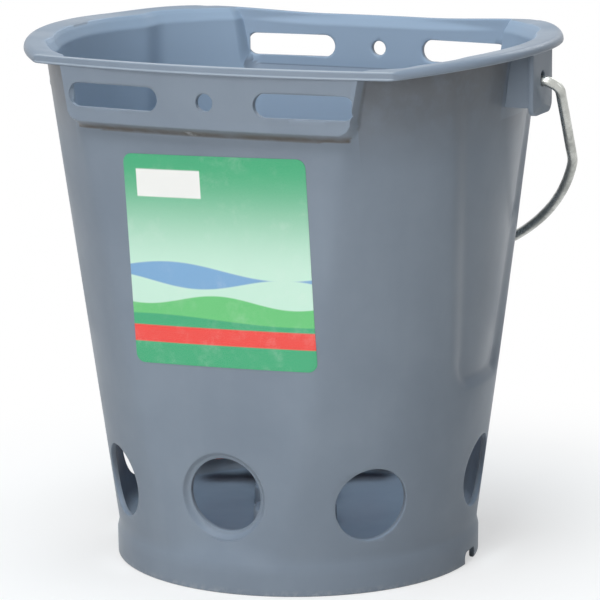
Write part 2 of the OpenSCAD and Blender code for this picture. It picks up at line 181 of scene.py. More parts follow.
def face_outwards(obj: bpy.types.Object, merge: bool = True) -> None:
    """Turns every face of a closed mesh outwards, after merging doubles if asked.

    Args:
        obj: The mesh.
        merge: Whether doubles are merged first.
    """
    bm = bmesh.new()
    bm.from_mesh(obj.data)
    if merge:
        bmesh.ops.remove_doubles(bm, verts=bm.verts, dist=1e-6)
    bmesh.ops.recalc_face_normals(bm, faces=bm.faces)
    bm.to_mesh(obj.data)
    bm.free()


def solid(name: str, rings: Sequence[np.ndarray]) -> bpy.types.Object:
    """Makes a closed mesh over a row of rings.

    Args:
        name: Its name.
        rings: Arrays of n by 3 points.

    Returns:
        The object.
    """
    obj = mesh_object(name, *loft(rings))
    face_outwards(obj)
    return obj


def shade(obj: bpy.types.Object, angle: float = 32.0) -> None:
    """Shades a mesh smooth, with edges over the angle in degrees kept sharp."""
    obj.data.shade_smooth()
    obj.data.set_sharp_from_angle(angle=math.radians(angle))


def bake(obj: bpy.types.Object) -> None:
    """Replaces an object's mesh by what its modifiers make of it, and removes them.

    Args:
        obj: The object.
    """
    graph = bpy.context.evaluated_depsgraph_get()
    mesh = bpy.data.meshes.new_from_object(obj.evaluated_get(graph))
    old = obj.data
    obj.modifiers.clear()
    obj.data = mesh
    mesh.name = obj.name
    bpy.data.meshes.remove(old)


def carve(obj: bpy.types.Object, tools: Sequence[tuple[bpy.types.Object, Cut]]) -> None:
    """Cuts or adds closed tool solids, in order, and deletes them.

    Args:
        obj: The closed piece.
        tools: Tool solids and what each one does.
    """
    for tool, kind in tools:
        modifier = obj.modifiers.new(tool.name, "BOOLEAN")
        modifier.operation = kind.value
        modifier.solver = "MANIFOLD"
        modifier.object = tool
    bake(obj)
    for tool, _ in tools:
        mesh = tool.data
        bpy.data.objects.remove(tool)
        bpy.data.meshes.remove(mesh)


def finish_piece(obj: bpy.types.Object, body: str, material: bpy.types.Material,
                 nodes: Sequence[str]) -> None:
    """Gives a piece its material and body, and hides the frame nodes it stands for.

    Args:
        obj: The piece.
        body: Body that it moves with.
        material: Its finish.
        nodes: Frame nodes that it replaces.
    """
    if not obj.data.materials:
        obj.data.materials.append(material)
    else:
        obj.data.materials[0] = material
    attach(obj, body)
    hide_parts(*nodes)
    LOG.info("%s: %d faces on %s", obj.name, len(obj.data.polygons), body)


class Shader:
    """A material's node tree, with short calls to add and join nodes."""

    def __init__(self, name: str) -> None:
        """Starts a material with a principled surface.

        Args:
            name: Its name.
        """
        self.material = bpy.data.materials.new(name)
        self.material.use_nodes = True
        self.tree = self.material.node_tree
        self.surface = self.tree.nodes["Principled BSDF"]

    def add(self, kind: str, links: dict | None = None, **values: object) -> bpy.types.Node:
        """Adds a node.

        Args:
            kind: Node type, without the leading ShaderNode.
            links: Input name or index to an output socket or a constant.
            **values: Properties of the node.

        Returns:
            The node.
        """
        node = self.tree.nodes.new("ShaderNode" + kind)
        for key, value in values.items():
            setattr(node, key, value)
        for key, value in (links or {}).items():
            self.put(node.inputs[key], value)
        return node

    def put(self, socket: Socket, value: object) -> None:
        """Links an output to a socket, or sets the socket's constant.

        Args:
            socket: The input.
            value: An output socket or a constant.
        """
        if isinstance(value, Socket):
            self.tree.links.new(value, socket)
        else:
            socket.default_value = value

    def set(self, **values: object) -> None:
        """Links or sets inputs of the surface; underscores in names stand for spaces."""
        for key, value in values.items():
            self.put(self.surface.inputs[key.replace("_", " ")], value)

    def math(self, operation: str, *terms: object, clamp: bool = False) -> Socket:
        """Adds a Math node and returns its output."""
        return self.add("Math", dict(enumerate(terms)), operation=operation, use_clamp=clamp).outputs[0]

    def times(self, a: object, b: object, clamp: bool = False) -> Socket:
        """Product of two values."""
        return self.math("MULTIPLY", a, b, clamp=clamp)

    def place(self, scale: Sequence[float] = (1, 1, 1), turn: Sequence[float] = (0, 0, 0)) -> Socket:
        """Object coordinates, scaled and turned."""
        links = {"Vector": self.add("TexCoord").outputs["Object"], "Scale": scale, "Rotation": turn}
        return self.add("Mapping", links).outputs[0]

    def noise(self, where: Socket, scale: float, detail: float = 4, rough: float = 0.55) -> Socket:
        """Noise value at a place."""
        links = {"Vector": where, "Scale": scale, "Detail": detail, "Roughness": rough}
        return self.add("TexNoise", links).outputs[0]

    def ramp(self, value: object, low: float, high: float, to_low: float = 0.0,
             to_high: float = 1.0) -> Socket:
        """Maps a range of values to another, clamped, with soft ends."""
        links = {0: value, 1: low, 2: high, 3: to_low, 4: to_high}
        return self.add("MapRange", links, interpolation_type="SMOOTHSTEP").outputs[0]

    def mix(self, share: object, a: object, b: object) -> Socket:
        """Mixes two colours, with a share of the second."""
        return self.add("Mix", {0: share, 6: a, 7: b}, data_type="RGBA").outputs[2]

    def attribute(self, name: str) -> Socket:
        """A value painted on the mesh."""
        return self.add("Attribute", attribute_name=name).outputs["Fac"]

    def bump(self, layers: Sequence[tuple[object, float, float]]) -> None:
        """Joins bump layers of (height, strength, distance in metres) and gives them to the surface.

        Args:
            layers: The layers, the broadest first.
        """
        normal = None
        for height, strength, distance in layers:
            node = self.add("Bump", {"Strength": strength, "Distance": distance, "Height": height})
            if normal is not None:
                self.put(node.inputs["Normal"], normal)
            normal = node.outputs[0]
        self.put(self.surface.inputs["Normal"], normal)


@dataclass(frozen=True)
class MouldedPlastic:
    """Satin moulded plastic with flow marks, grain, scratches, pale scuffs, dusty patches with painted shade,
    painted light inside and pale edges with a painted highlight.

    The mesh's own values say where: wear, polish, dust with painted shade, painted light inside and pale
    edges with a painted highlight.
    """

    name: str
    colour: Colour
    deep: Colour
    scuff: Colour
    roughness: float = 0.40
    # Painted light: the lighter, bluer colour of the inside.
    inside_light: Colour = (0.315, 0.41, 0.53, 1)
    # Brown of dust, mixed with painted shade.
    soil_and_shade: Colour = (0.105, 0.098, 0.092, 1)
    # Share of the pale edge colour, partly a painted highlight.
    pale_edge_highlight_share: float = 0.6
    scratch_share: float = 0.07
    rub_share: float = 0.55
    polish_gain: float = 0.07
    scuff_dulling: float = 0.25
    ior: float = 1.49
    specular: float = 0.14

    def tint(self, s: Shader, at: Socket) -> Socket:
        """Colour of the plastic with its flow, dust with painted shade, painted light inside and pale edges
        with a painted highlight, before scratches.

        Args:
            s: The material's nodes.
            at: Object coordinates.

        Returns:
            The colour.
        """
        flow = s.noise(s.place((34, 34, 2.2)), 1.0, 5, 0.6)
        cloud = s.noise(at, 9.0, 5, 0.6)
        tint = s.mix(s.ramp(cloud, 0.3, 0.72), self.colour, self.deep)
        tint = s.mix(s.ramp(flow, 0.42, 0.75, 0.0, 0.35), tint, self.deep)
        # Painted light: the inside lighter and bluer.
        tint = s.mix(s.attribute("inside"), tint, self.inside_light)
        # Painted shade with some dust, in patches.
        patch = s.ramp(s.noise(at, 90.0, 4, 0.6), 0.25, 0.6, 0.65, 1.0)
        tint = s.mix(s.times(s.attribute("dirt_and_shade"), patch, clamp=True), tint, self.soil_and_shade)
        # Pale edge lines, partly a painted highlight.
        return s.mix(s.times(s.attribute("pale_edge_highlight"), self.pale_edge_highlight_share), tint, self.scuff)

    def scratches(self, s: Shader, at: Socket) -> Socket:
        """Fine lines in two directions, in patches.

        Args:
            s: The material's nodes.
            at: Object coordinates.

        Returns:
            1 on a line and 0 off it.
        """
        upright = s.noise(s.place((420, 420, 16), (0.35, 0.2, 0.0)), 1.0, 3, 0.7)
        cross = s.noise(s.place((22, 380, 300), (0.1, 0.6, 0.9)), 1.0, 3, 0.7)
        lines = s.math("MAXIMUM", s.ramp(upright, 0.70, 0.78), s.ramp(cross, 0.71, 0.79))
        return s.times(lines, s.ramp(s.noise(at, 26.0, 4), 0.46, 0.66))

    def build(self) -> bpy.types.Material:
        """Makes the finish.

        Returns:
            The material.
        """
        s = Shader(self.name)
        at = s.place()
        lines = self.scratches(s, at)
        flecks = s.ramp(s.noise(at, 240.0, 5, 0.7), 0.42, 0.62)
        rub = s.times(s.attribute("wear"), flecks, clamp=True)
        pale = s.math("MAXIMUM", s.times(lines, self.scratch_share), s.times(rub, self.rub_share))
        s.set(Base_Color=s.mix(pale, self.tint(s, at), self.scuff))
        gloss = s.ramp(s.noise(at, 17.0, 4), 0.3, 0.7, self.roughness - 0.05, self.roughness + 0.07)
        gloss = s.math("SUBTRACT", gloss, s.times(s.attribute("polish"), self.polish_gain))
        s.set(Roughness=s.math("ADD", gloss, s.times(pale, self.scuff_dulling), clamp=True))
        s.set(IOR=self.ior, Specular_IOR_Level=self.specular)
        ripple = s.noise(s.place((26, 26, 7)), 1.0, 2)
        grain = s.noise(at, 1500.0, 2)
        s.bump([(ripple, 0.10, 0.0022), (grain, 0.10, 0.00012), (lines, 0.08, 0.00005)])
        return s.material


@dataclass(frozen=True)
class ZincWire:
    """Hot-dip galvanised wire: bright zinc with a spangle, dull patches and drawing lines."""

    name: str
    bright: Colour = (0.58, 0.59, 0.56, 1)
    dull: Colour = (0.34, 0.35, 0.33, 1)

    def build(self) -> bpy.types.Material:
        """Makes the finish.

        Returns:
            The material.
        """
        s = Shader(self.name)
        at = s.place()
        spangle = s.add("TexVoronoi", {"Vector": at, "Scale": 420.0}).outputs["Color"]
        cell = s.add("SeparateColor", {0: spangle}).outputs[0]
        patch = s.ramp(s.noise(at, 55.0, 5, 0.65), 0.38, 0.68)
        tone = s.math("ADD", s.times(cell, 0.35), s.times(patch, 0.65))
        s.set(Base_Color=s.mix(tone, self.bright, self.dull), Metallic=1.0)
        s.set(Roughness=s.ramp(tone, 0.1, 0.9, 0.24, 0.46))
        s.bump([(s.noise(at, 260.0, 3), 0.25, 0.0002), (cell, 0.12, 0.00006)])
        return s.material


@dataclass(frozen=True)
class SoftRubber:
    """Moulded rubber with a fine bloom and a slight sheen."""

    name: str
    colour: Colour
    bloom: Colour
    roughness: float = 0.5

    def build(self) -> bpy.types.Material:
        """Makes the finish.

        Returns:
            The material.
        """
        s = Shader(self.name)
        at = s.place()
        powder = s.ramp(s.noise(at, 130.0, 6, 0.7), 0.45, 0.75, 0.0, 0.35)
        s.set(Base_Color=s.mix(powder, self.colour, self.bloom))
        s.set(Roughness=s.ramp(s.noise(at, 60.0, 4), 0.3, 0.7, self.roughness - 0.08, self.roughness + 0.1))
        s.set(IOR=1.52)
        s.bump([(s.noise(at, 420.0, 4), 0.15, 0.00018), (s.noise(at, 2200.0, 2), 0.1, 0.00005)])
        return s.material


@dataclass(frozen=True)
class PrintedFilm:
    """Glossy printed label: a pale to green field with hills, a red stripe and a bare white patch."""

    name: str
    green: Colour = (0.012, 0.36, 0.155, 1)
    leaf: Colour = (0.10, 0.52, 0.16, 1)
    mint: Colour = (0.52, 0.78, 0.66, 1)
    red: Colour = (0.80, 0.030, 0.018, 1)
    paper: Colour = (0.80, 0.82, 0.82, 1)
    sky: Colour = (0.16, 0.36, 0.62, 1)

    def build(self) -> bpy.types.Material:
        """Makes the finish.

        Returns:
            The material.
        """
        s = Shader(self.name)
        uv = s.add("UVMap", uv_map="print").outputs[0]
        parts = s.add("SeparateXYZ", {0: uv})
        u, v = parts.outputs[0], parts.outputs[1]

        def above(line: object, soft: float = 0.004) -> Socket:
            """One above a line of v, zero below it."""
            return s.ramp(s.math("SUBTRACT", v, line), -soft, soft)

        def wave(level: float, height: float, count: float, shift: float) -> Socket:
            """A rolling line across the label."""
            swing = s.math("SINE", s.math("ADD", s.times(u, count), shift))
            return s.math("ADD", level, s.times(swing, height))

        def between(low: float, high: float) -> Socket:
            """One between two levels of v."""
            return s.times(above(low), s.math("SUBTRACT", 1.0, above(high)))

        field = s.mix(s.ramp(v, 0.42, 0.98), self.mint, self.green)
        hills = ((self.sky, 0.46, 0.035, 5.2, 0.4), (self.mint, 0.40, 0.030, 6.4, 2.3),
                 (self.leaf, 0.315, 0.026, 7.6, 4.2), (self.green, 0.225, 0.016, 4.1, 1.1))
        for colour, *roll in hills:
            field = s.mix(above(wave(*roll)), colour, field)
        field = s.mix(between(0.105, 0.185), field, self.red)
        patch = s.times(between(0.80, 0.93), s.ramp(u, 0.067, 0.071))
        patch = s.times(patch, s.ramp(u, 0.424, 0.428, 1.0, 0.0))
        field = s.mix(patch, field, self.paper)
        at = s.place()
        dust = s.ramp(s.noise(at, 70.0, 5, 0.7), 0.5, 0.8, 0.0, 0.14)
        field = s.mix(dust, field, self.paper)
        dots = s.noise(s.add("Mapping", {"Vector": uv, "Scale": (260, 280, 1)}).outputs[0], 1.0, 1)
        s.set(Base_Color=s.mix(s.ramp(dots, 0.3, 0.7, 0.0, 0.10), field, self.paper))
        s.set(Roughness=s.ramp(s.noise(at, 45.0, 3), 0.3, 0.7, 0.30, 0.42), IOR=1.5)
        s.bump([(s.noise(at, 38.0, 3), 0.12, 0.0008), (s.noise(at, 900.0, 2), 0.06, 0.00008)])
        return s.material


@dataclass
class BucketForm:
    """Sizes and surfaces of the bucket: the frame's, with small corrections to its bands and rim."""

    wall: float = 3.0
    r_low: float = 100.0
    r_top: float = 135.9
    rim_z: float = 289.5
    face_low: float = 95.4
    face_high: float = 109.8
    face_top: float = 246.3
    fold_low: float = 1.6
    fold_more: float = 1.4
    fold_from: float = 40.0
    fold_over: float = 210.0
    bow_r: float = 900.0
    foot_r: float = 100.6
    foot_h: float = 22.0
    foot_lean: float = 0.30
    foot_lean_h: float = 8.0
    foot_lean_soft: float = 6.0
    foot_ease: float = 0.8
    foot_top: float = 60.0
    foot_fold: float = 2.4
    foot_fold_side: float = 1.2
    floor_z: float = 21.5
    floor_t: float = 3.0
    rim_x: float = 145.0
    rim_bow: float = 157.0
    rim_t: float = 5.0
    rim_round: float = 4.0
    rim_slope: float = 0.0926
    rim_slope_soft: float = 1.0
    rim_step: float = 5.0
    rim_step_start: float = 0.2
    rim_fold: float = 1.9
    rim_fold_side: float = 1.4
    cap_fold: float = 0.4
    corner_x: float = 101.8
    lip_y: float = 120.5
    lip_bow: float = 425.0
    lip_t: float = 4.6
    lip_low: float = 280.5
    lip_round: float = 1.3
    bead: float = 0.75
    mouth_flare: float = 2.2
    mouth_low: float = 278.7
    band_y: float = 118.0
    band_bow: float = 600.0
    band_lean: float = 0.05
    band_low: float = 252.0
    band_slant: float = 4.8
    band_half: float = 80.6
    band_flare: float = 5.6
    band_corner: float = 7.0
    band_steep: float = 6.0
    band_fold: float = 1.1
    band_fold_inside: float = 8.0
    band_soft: float = 0.9
    band_soft_more: float = 1.9
    flute_depth: float = 4.0
    flute_low: float = 103.0
    flute_half: float = 40.0
    flute_flare: float = 28.0
    flute_corner: float = 22.0
    flute_edge: float = 7.0
    flute_edge_more: float = 9.0
    inner_columns: int = 44
    side_columns: int = 80
    crowd: tuple[float, ...] = (-7.0, -5.2, -3.8, -2.7, -1.9, -1.25, -0.7, -0.25,
                                0.15, 0.5, 0.85, 1.2, 1.55, 1.95, 2.4, 2.9)
    crowd_gap: float = 9.5

    def wall_r(self, z: np.ndarray) -> np.ndarray:
        """Outer radius of the round wall at a height."""
        return self.r_low + (self.r_top - self.r_low) / (self.rim_z - self.foot_h) * (z - self.foot_h)

    def face_y(self, z: np.ndarray) -> np.ndarray:
        """Distance of the bowed faces from the axis, in the middle, at a height."""
        top = self.face_top
        return self.face_low + (self.face_high - self.face_low) / (top - self.foot_h) * (z - self.foot_h)

    def bow(self, x: np.ndarray) -> np.ndarray:
        """How far a bowed face falls back at x."""
        return x * x / (2.0 * self.bow_r)

    def band_fall(self, x: np.ndarray) -> np.ndarray:
        """How far a band falls back at x."""
        return x * x / (2.0 * self.band_bow)

    def band_end(self, z: np.ndarray, inset: float) -> np.ndarray:
        """Half width of the band at a height, moved in by inset."""
        low = self.band_low + self.band_corner
        return self.band_half - inset + self.band_flare * np.clip((z - low) / (self.rim_z - low), 0, 1)

    def plain_y(self, x: np.ndarray, z: np.ndarray, inset: float) -> np.ndarray:
        """Depth of the wall at x without its band: a face with a soft edge to the round wall.

        Args:
            x: Places along x.
            z: Heights.
            inset: 0 for the outer surface, or how far inside it.

        Returns:
            Depths.
        """
        r = self.wall_r(z) - inset
        round_y = np.sqrt(np.maximum(r * r - x * x, 1.0))
        edge = self.fold_low + self.fold_more * np.clip((z - self.fold_from) / self.fold_over, 0, 1)
        return smooth_min(self.face_y(z) - self.bow(x) - inset, round_y, edge)

    def band_height(self, x: np.ndarray, z: np.ndarray, inset: float) -> np.ndarray:
        """Depth of the band's own surface at x, falling away past its ends and its slanted underside.

        Args:
            x: Places along x.
            z: Heights.
            inset: 0 for the outer surface, or how far inside it.

        Returns:
            Depths.
        """
        lean = math.atan2(self.band_slant, self.band_y - self.face_high)
        low = self.band_low + inset * (1 - math.sin(lean)) / math.cos(lean)
        r = self.band_corner
        dx = np.maximum(np.abs(x) - (self.band_end(z, inset) - r), 0.0)
        dz = np.maximum(low + r - z, 0.0)
        d = np.hypot(dx, dz) - r
        share = dz * dz / np.maximum(dx * dx + dz * dz, 1e-6)
        steep = self.band_steep + (1.0 / math.tan(lean) - self.band_steep) * share
        out = self.band_lean * np.maximum(z - self.band_low, 0.0) * (inset == 0.0) * (z < self.lip_low + 0.1)
        out = out * np.maximum(1.0 - (x / self.band_half) ** 2, 0.0)
        soft = self.band_soft + self.band_soft_more * share
        return self.band_y + out - inset - self.band_fall(x) - steep * soft_rise(d, soft)

    def foot_edge(self, z: np.ndarray) -> np.ndarray:
        """Radius of the foot ring's outside, rolled in at its top and bottom."""
        top = self.foot_lean * soft_rise(z - (self.foot_h - self.foot_lean_h), self.foot_lean_soft)
        return self.foot_r - top - self.foot_ease * np.clip(1.0 - z / self.foot_ease, 0, 1) ** 2

    def front_y(self, x: np.ndarray, z: np.ndarray, inset: float) -> np.ndarray:
        """Depth of the outer (inset 0) or inner surface at x, on the front and back.

        Args:
            x: Places along x.
            z: Heights.
            inset: 0 for the outer surface, or how far inside it.

        Returns:
            Depths.
        """
        crease = self.band_fold if inset == 0.0 else self.band_fold_inside
        y = smooth_max(self.plain_y(x, z, inset), self.band_height(x, z, inset), crease)
        if inset == 0.0:
            foot = np.sqrt(np.maximum(self.foot_edge(z) ** 2 - x * x, 1.0))
            y = np.where(z < self.foot_top, smooth_max(y, foot, self.foot_fold), y)
        return y

    def flute(self, y: np.ndarray, z: np.ndarray, inset: float) -> np.ndarray:
        """Share, 0 to 1, of the flute's depth at a place on the side wall.

        Args:
            y: Places along y.
            z: Heights.
            inset: 0 for the outer surface, or how far inside it.

        Returns:
            Shares.
        """
        low = self.flute_low - inset
        r = self.flute_corner
        rise = np.clip((z - low - r) / (self.rim_z - low - r), 0, 1)
        half = self.flute_half + inset + self.flute_flare * rise
        dx = np.maximum(np.abs(y) - (half - r), 0.0)
        dz = np.maximum(low + r - z, 0.0)
        across = dx * dx / np.maximum(dx * dx + dz * dz, 1e-6)
        return smooth_step((r - np.hypot(dx, dz)) / (self.flute_edge + self.flute_edge_more * across))

    def side_r(self, angle: np.ndarray, z: np.ndarray, inset: float) -> np.ndarray:
        """Radius of the outer or inner surface on the round sides.

        Args:
            angle: Bearings.
            z: Heights.
            inset: 0 for the outer surface, or how far inside it.

        Returns:
            Radii.
        """
        r = self.wall_r(z) - inset
        r = r - self.flute_depth * self.flute(r * np.sin(angle), z, inset)
        if inset == 0.0:
            foot = smooth_max(r, self.foot_edge(z), self.foot_fold_side)
            r = np.where(z < self.foot_top, foot, r)
        return r

    def columns(self, z: np.ndarray, inset: float) -> np.ndarray:
        """Places along x of the front's columns, crowded at the band's ends.

        Args:
            z: Height.
            inset: 0 for the outer surface, or how far inside it.

        Returns:
            Places, from left to right.
        """
        near = np.array(self.crowd)
        end = self.band_end(z, inset)
        middle = np.linspace(-1, 1, self.inner_columns)
        return np.concatenate([-(end + near[::-1]), middle * (end - self.crowd_gap), end + near])

    def lift(self, x: np.ndarray, thicker: float) -> np.ndarray:
        """How far the rim's sides stand above its lips at x, past the fold between two corners.

        Args:
            x: Places along x.
            thicker: How much thicker the sides are there than the lips.

        Returns:
            Heights.
        """
        past = np.abs(x) - self.corner_x
        step = smooth_step(past / self.rim_step + self.rim_step_start)
        return self.rim_slope * soft_rise(past, self.rim_slope_soft) + thicker * step

    def ring(self, z: float, inset: float, lift: float = 0.0, thicker: float = 0.0,
             cap: float = 0.0) -> np.ndarray:
        """One closed line of the wall, anticlockwise from above, starting on the front's left.

        Args:
            z: Height on the front and back.
            inset: 0 for the outer surface, or how far the line lies inside it.
            lift: Share of the rim's rise that the line follows on the round sides.
            thicker: How much higher than the rise it stands there.
            cap: If not 0, how far at least the line stays behind the lips' edge.

        Returns:
            Points, n by 3.
        """
        x = self.columns(np.asarray(float(z)), inset)
        y = self.front_y(x, np.full_like(x, z), inset)
        if cap:
            y = smooth_min(y, self.lip_edge(x) - cap, self.cap_fold)
        return self.join(x, y, lambda px: z + lift * self.lift(px, thicker),
                         lambda a, h: self.side_r(a, h, inset))

    def join(self, x: np.ndarray, y: np.ndarray, height: Callable[[np.ndarray], np.ndarray],
             side: Callable[[np.ndarray, np.ndarray], np.ndarray]) -> np.ndarray:
        """Closes a ring from its front half, mirrored to the back, and round sides between them.

        Args:
            x: Columns of the front.
            y: Depth at each column.
            height: Height at x.
            side: Radius at an angle and height.

        Returns:
            Points, n by 3.
        """
        reach = math.atan2(y[-1], x[-1])
        angle = reach * np.linspace(-1, 1, self.side_columns + 2)[1:-1]
        z = height(side(angle, height(x[-1:])) * np.cos(angle))
        r = side(angle, z)
        front = stacked(x, -y, height(x))
        right = stacked(r * np.cos(angle), r * np.sin(angle), z)
        turn = np.array([-1.0, -1.0, 1.0])
        return np.vstack([front, right, front * turn, right * turn])

    def lip_edge(self, x: np.ndarray) -> np.ndarray:
        """Distance of the lips' front edge from the axis at x."""
        return self.lip_y - self.lip_bow + np.sqrt(self.lip_bow ** 2 - x * x)

    def rim_ring(self, d_side: float, h_side: float, d_lip: float, h_lip: float) -> np.ndarray:
        """One closed line of the rim: bowed lips on the front and back, rising arcs on the sides.

        Args:
            d_side: How far the line lies inside the edge of the sides.
            h_side: Its height above the underside of the sides.
            d_lip: How far it lies inside the edge of the lips.
            h_lip: Its height above the underside of the lips.

        Returns:
            Points, n by 3.
        """
        centre, rho = self.rim_x - self.rim_bow, self.rim_bow - d_side
        end = self.corner_x
        for _ in range(12):
            end = centre + math.sqrt(rho ** 2 - (float(self.lip_edge(np.asarray(end))) - d_lip) ** 2)
        x = self.columns(np.asarray(self.lip_low), 0.0)
        x = x * (end / x[-1])
        arc_y = np.sqrt(rho ** 2 - (np.abs(x) - centre) ** 2)
        y = smooth_min(self.lip_edge(x) - d_lip, arc_y, self.rim_fold)

        def side(angle: np.ndarray, _: np.ndarray) -> np.ndarray:
            """Radius of the arc about the axis, eased into the lip at its ends.

            Args:
                angle: Bearings.

            Returns:
                Radii.
            """
            c, sn = np.cos(angle), np.abs(np.sin(angle))
            arc = centre * c + np.sqrt(rho ** 2 - (centre * sn) ** 2)
            bowed = np.sqrt(sn * sn + 2 * c * c * (self.lip_y - d_lip) / self.lip_bow)
            lip = (bowed - sn) * self.lip_bow / (c * c)
            return smooth_min(arc, lip, self.rim_fold_side)

        return self.join(x, y, lambda px: self.lip_low + h_lip + self.lift(px, h_side - h_lip), side)


@dataclass
class TeatHole:
    """One round hole in the wall."""

    turn: float
    z: float
    r: float = 20.3
    dished: bool = False


@dataclass
class Spots:
    """Places, in millimetres, and directions of a mesh's vertices."""

    x: np.ndarray
    y: np.ndarray
    z: np.ndarray
    r: np.ndarray
    inward: np.ndarray
    nz: np.ndarray

    @classmethod
    def of(cls, obj: bpy.types.Object) -> "Spots":
        """Reads them from a mesh.

        Args:
            obj: The mesh's object.

        Returns:
            The spots.
        """
        rows = []
        for name in ("co", "normal"):
            flat = np.empty(len(obj.data.vertices) * 3)
            obj.data.vertices.foreach_get(name, flat)
            rows.append(flat.reshape(-1, 3).T)
        (x, y, z), (nx, ny, nz) = rows[0] / MM, rows[1]
        r = np.hypot(x, y)
        return cls(x, y, z, r, -(nx * x + ny * y) / np.maximum(r, 1.0), nz)


@dataclass
class BucketPaint:
    """Values from 0 to 1, at every spot, that tell the bucket's finish what happens where."""

    form: BucketForm
    ear_half: float
    ear_low: float
    scrape_x: float = -8.0
    scrape_drop: float = 3.2
    scrape_w: float = 4.5
    scrape_h: float = 1.2
    foot_rub: float = 1.6
    line_h: float = 0.3
    bead_line: float = 0.95
    bead_share: float = 0.6
    # Painted light inside: the height where it starts and the rise over which it is full.
    inside_light_from: float = 30.0
    inside_light_over: float = 150.0
    strip_drop: float = 3.4
    strip_h: float = 2.6
    strip_fade: float = 6.0
    # Painted shade low inside: its top, its fade and its strength.
    low_inside_shade_top: float = 120.0
    low_inside_shade_over: float = 60.0
    low_inside_shade_share: float = 0.45
    # Painted shade with some dust under the rim: its start, its fade and its strength.
    rim_dirt_shade_from: float = 225.0
    rim_dirt_shade_over: float = 62.0
    rim_dirt_shade_share: float = 0.62

    def wear(self, p: Spots) -> np.ndarray:
        """Rubbed plastic: a scrape under the front band, and the foot's edge.

        Args:
            p: The spots.

        Returns:
            Values.
        """
        low = self.form.band_low - self.scrape_drop
        scrape = bell(p.z - low, self.scrape_h) * bell(p.x - self.scrape_x, self.scrape_w)
        return np.clip(1.4 * scrape * (p.y < 8.5 - self.form.band_y) + 0.5 * bell(p.z, self.foot_rub), 0, 1)

    def polish(self, p: Spots) -> np.ndarray:
        """Glossier plastic in the flutes.

        Args:
            p: The spots.

        Returns:
            Values.
        """
        f = self.form
        side = np.abs(np.arctan2(p.y, np.abs(p.x))) < 0.9
        outside = p.r > f.wall_r(p.z) - f.flute_depth - 1.2
        return np.where(side & outside, f.flute(p.y, p.z, 0.0), 0.0)

    def pale_edge_highlight(self, p: Spots) -> np.ndarray:
        """Pale lines along the lips' upper edge and bead, partly whitened plastic and partly a painted
        highlight.

        Args:
            p: The spots.

        Returns:
            Values.
        """
        f = self.form
        behind = f.lip_edge(np.clip(p.x, -f.corner_x, f.corner_x)) - np.abs(p.y)
        lips = (np.abs(p.x) < f.corner_x) & (behind < 1.9) & (p.z > f.lip_low - 0.2)
        h = p.z - f.lip_low
        # Painted highlight along the lips' top edge and bead line.
        edge, bead = bell(h - f.lip_t + 0.2, self.line_h), bell(h - self.bead_line, self.line_h)
        return np.clip((edge + self.bead_share * bead) * lips, 0, 1)

    def on_ear(self, p: Spots) -> np.ndarray:
        """Whether a spot lies on an ear."""
        reach = self.form.wall_r(p.z) - self.form.flute_depth - 1.0
        return (np.abs(p.y) < self.ear_half + 2.0) & (np.abs(p.x) > reach) & (p.z > self.ear_low - 2.0)

    def inside(self, p: Spots) -> np.ndarray:
        """Painted light: the inside painted lighter, fading towards the floor and left out on the bands'
        ledges.

        Args:
            p: The spots.

        Returns:
            Values.
        """
        f = self.form
        floor = (p.nz > 0.7) & (p.z < 40.0) & (p.r < f.r_low - f.wall)
        ledge = (p.nz > 0.3) & (p.inward > 0) & (np.abs(p.z - f.band_low + 5.0) < 10.0)
        # Painted light on the inside faces and the floor, none on the ears and the ledges.
        inside_light = np.maximum(smooth_step(p.inward + 0.1), floor)
        return inside_light * eased(p.z, self.inside_light_from, self.inside_light_over) * ~self.on_ear(p) * ~ledge

    def dirt_and_shade(self, p: Spots) -> np.ndarray:
        """Dust and painted shade under the bands, painted shade low inside, and dust and painted shade on the
        wall under the rim.

        Args:
            p: The spots.

        Returns:
            Values.
        """
        f = self.form
        end, out = f.band_end(p.z, 0.0), np.abs(p.x)
        # Painted shadow, with some dust, on the slanted underside of the bands.
        before = (np.abs(p.y) > f.face_high - 1.5 - f.bow(p.x)) & (out < end + 1.0)
        under = before & (p.nz < -0.2) & (p.inward < 0)
        strip = under * bell(p.z - f.band_low + self.strip_drop, self.strip_h)
        strip = strip * smooth_step((end + 2.0 - out) / self.strip_fade)
        # Painted shade on the inside, growing towards the floor.
        low_inside_shade = smooth_step(2.0 * p.inward) * smooth_step((self.low_inside_shade_top - p.z) / self.low_inside_shade_over)
        # Painted shade with some dust on the outer wall under the rim, past the bands, darker towards the
        # rim.
        wall = (p.inward < -0.3) & (out > end + 0.5) & (p.r < f.wall_r(p.z) + 1.5) & ~self.on_ear(p)
        rim_dirt_and_shade = eased(p.z, self.rim_dirt_shade_from, self.rim_dirt_shade_over) * wall
        return np.maximum.reduce([strip, self.low_inside_shade_share * low_inside_shade * (p.z > f.floor_z), self.rim_dirt_shade_share * rim_dirt_and_shade])

    def apply(self, obj: bpy.types.Object) -> None:
        """Writes the values on a mesh.

        Args:
            obj: The mesh's object.
        """
        spots = Spots.of(obj)
        # Wear and polish, then painted shade with dust, painted light inside and a painted highlight on the
        # edges.
        for make in (self.wear, self.polish, self.dirt_and_shade, self.inside, self.pale_edge_highlight):
            layer = obj.data.attributes.new(make.__name__, "FLOAT", "POINT")
            layer.data.foreach_set("value", make(spots).astype(np.float32))


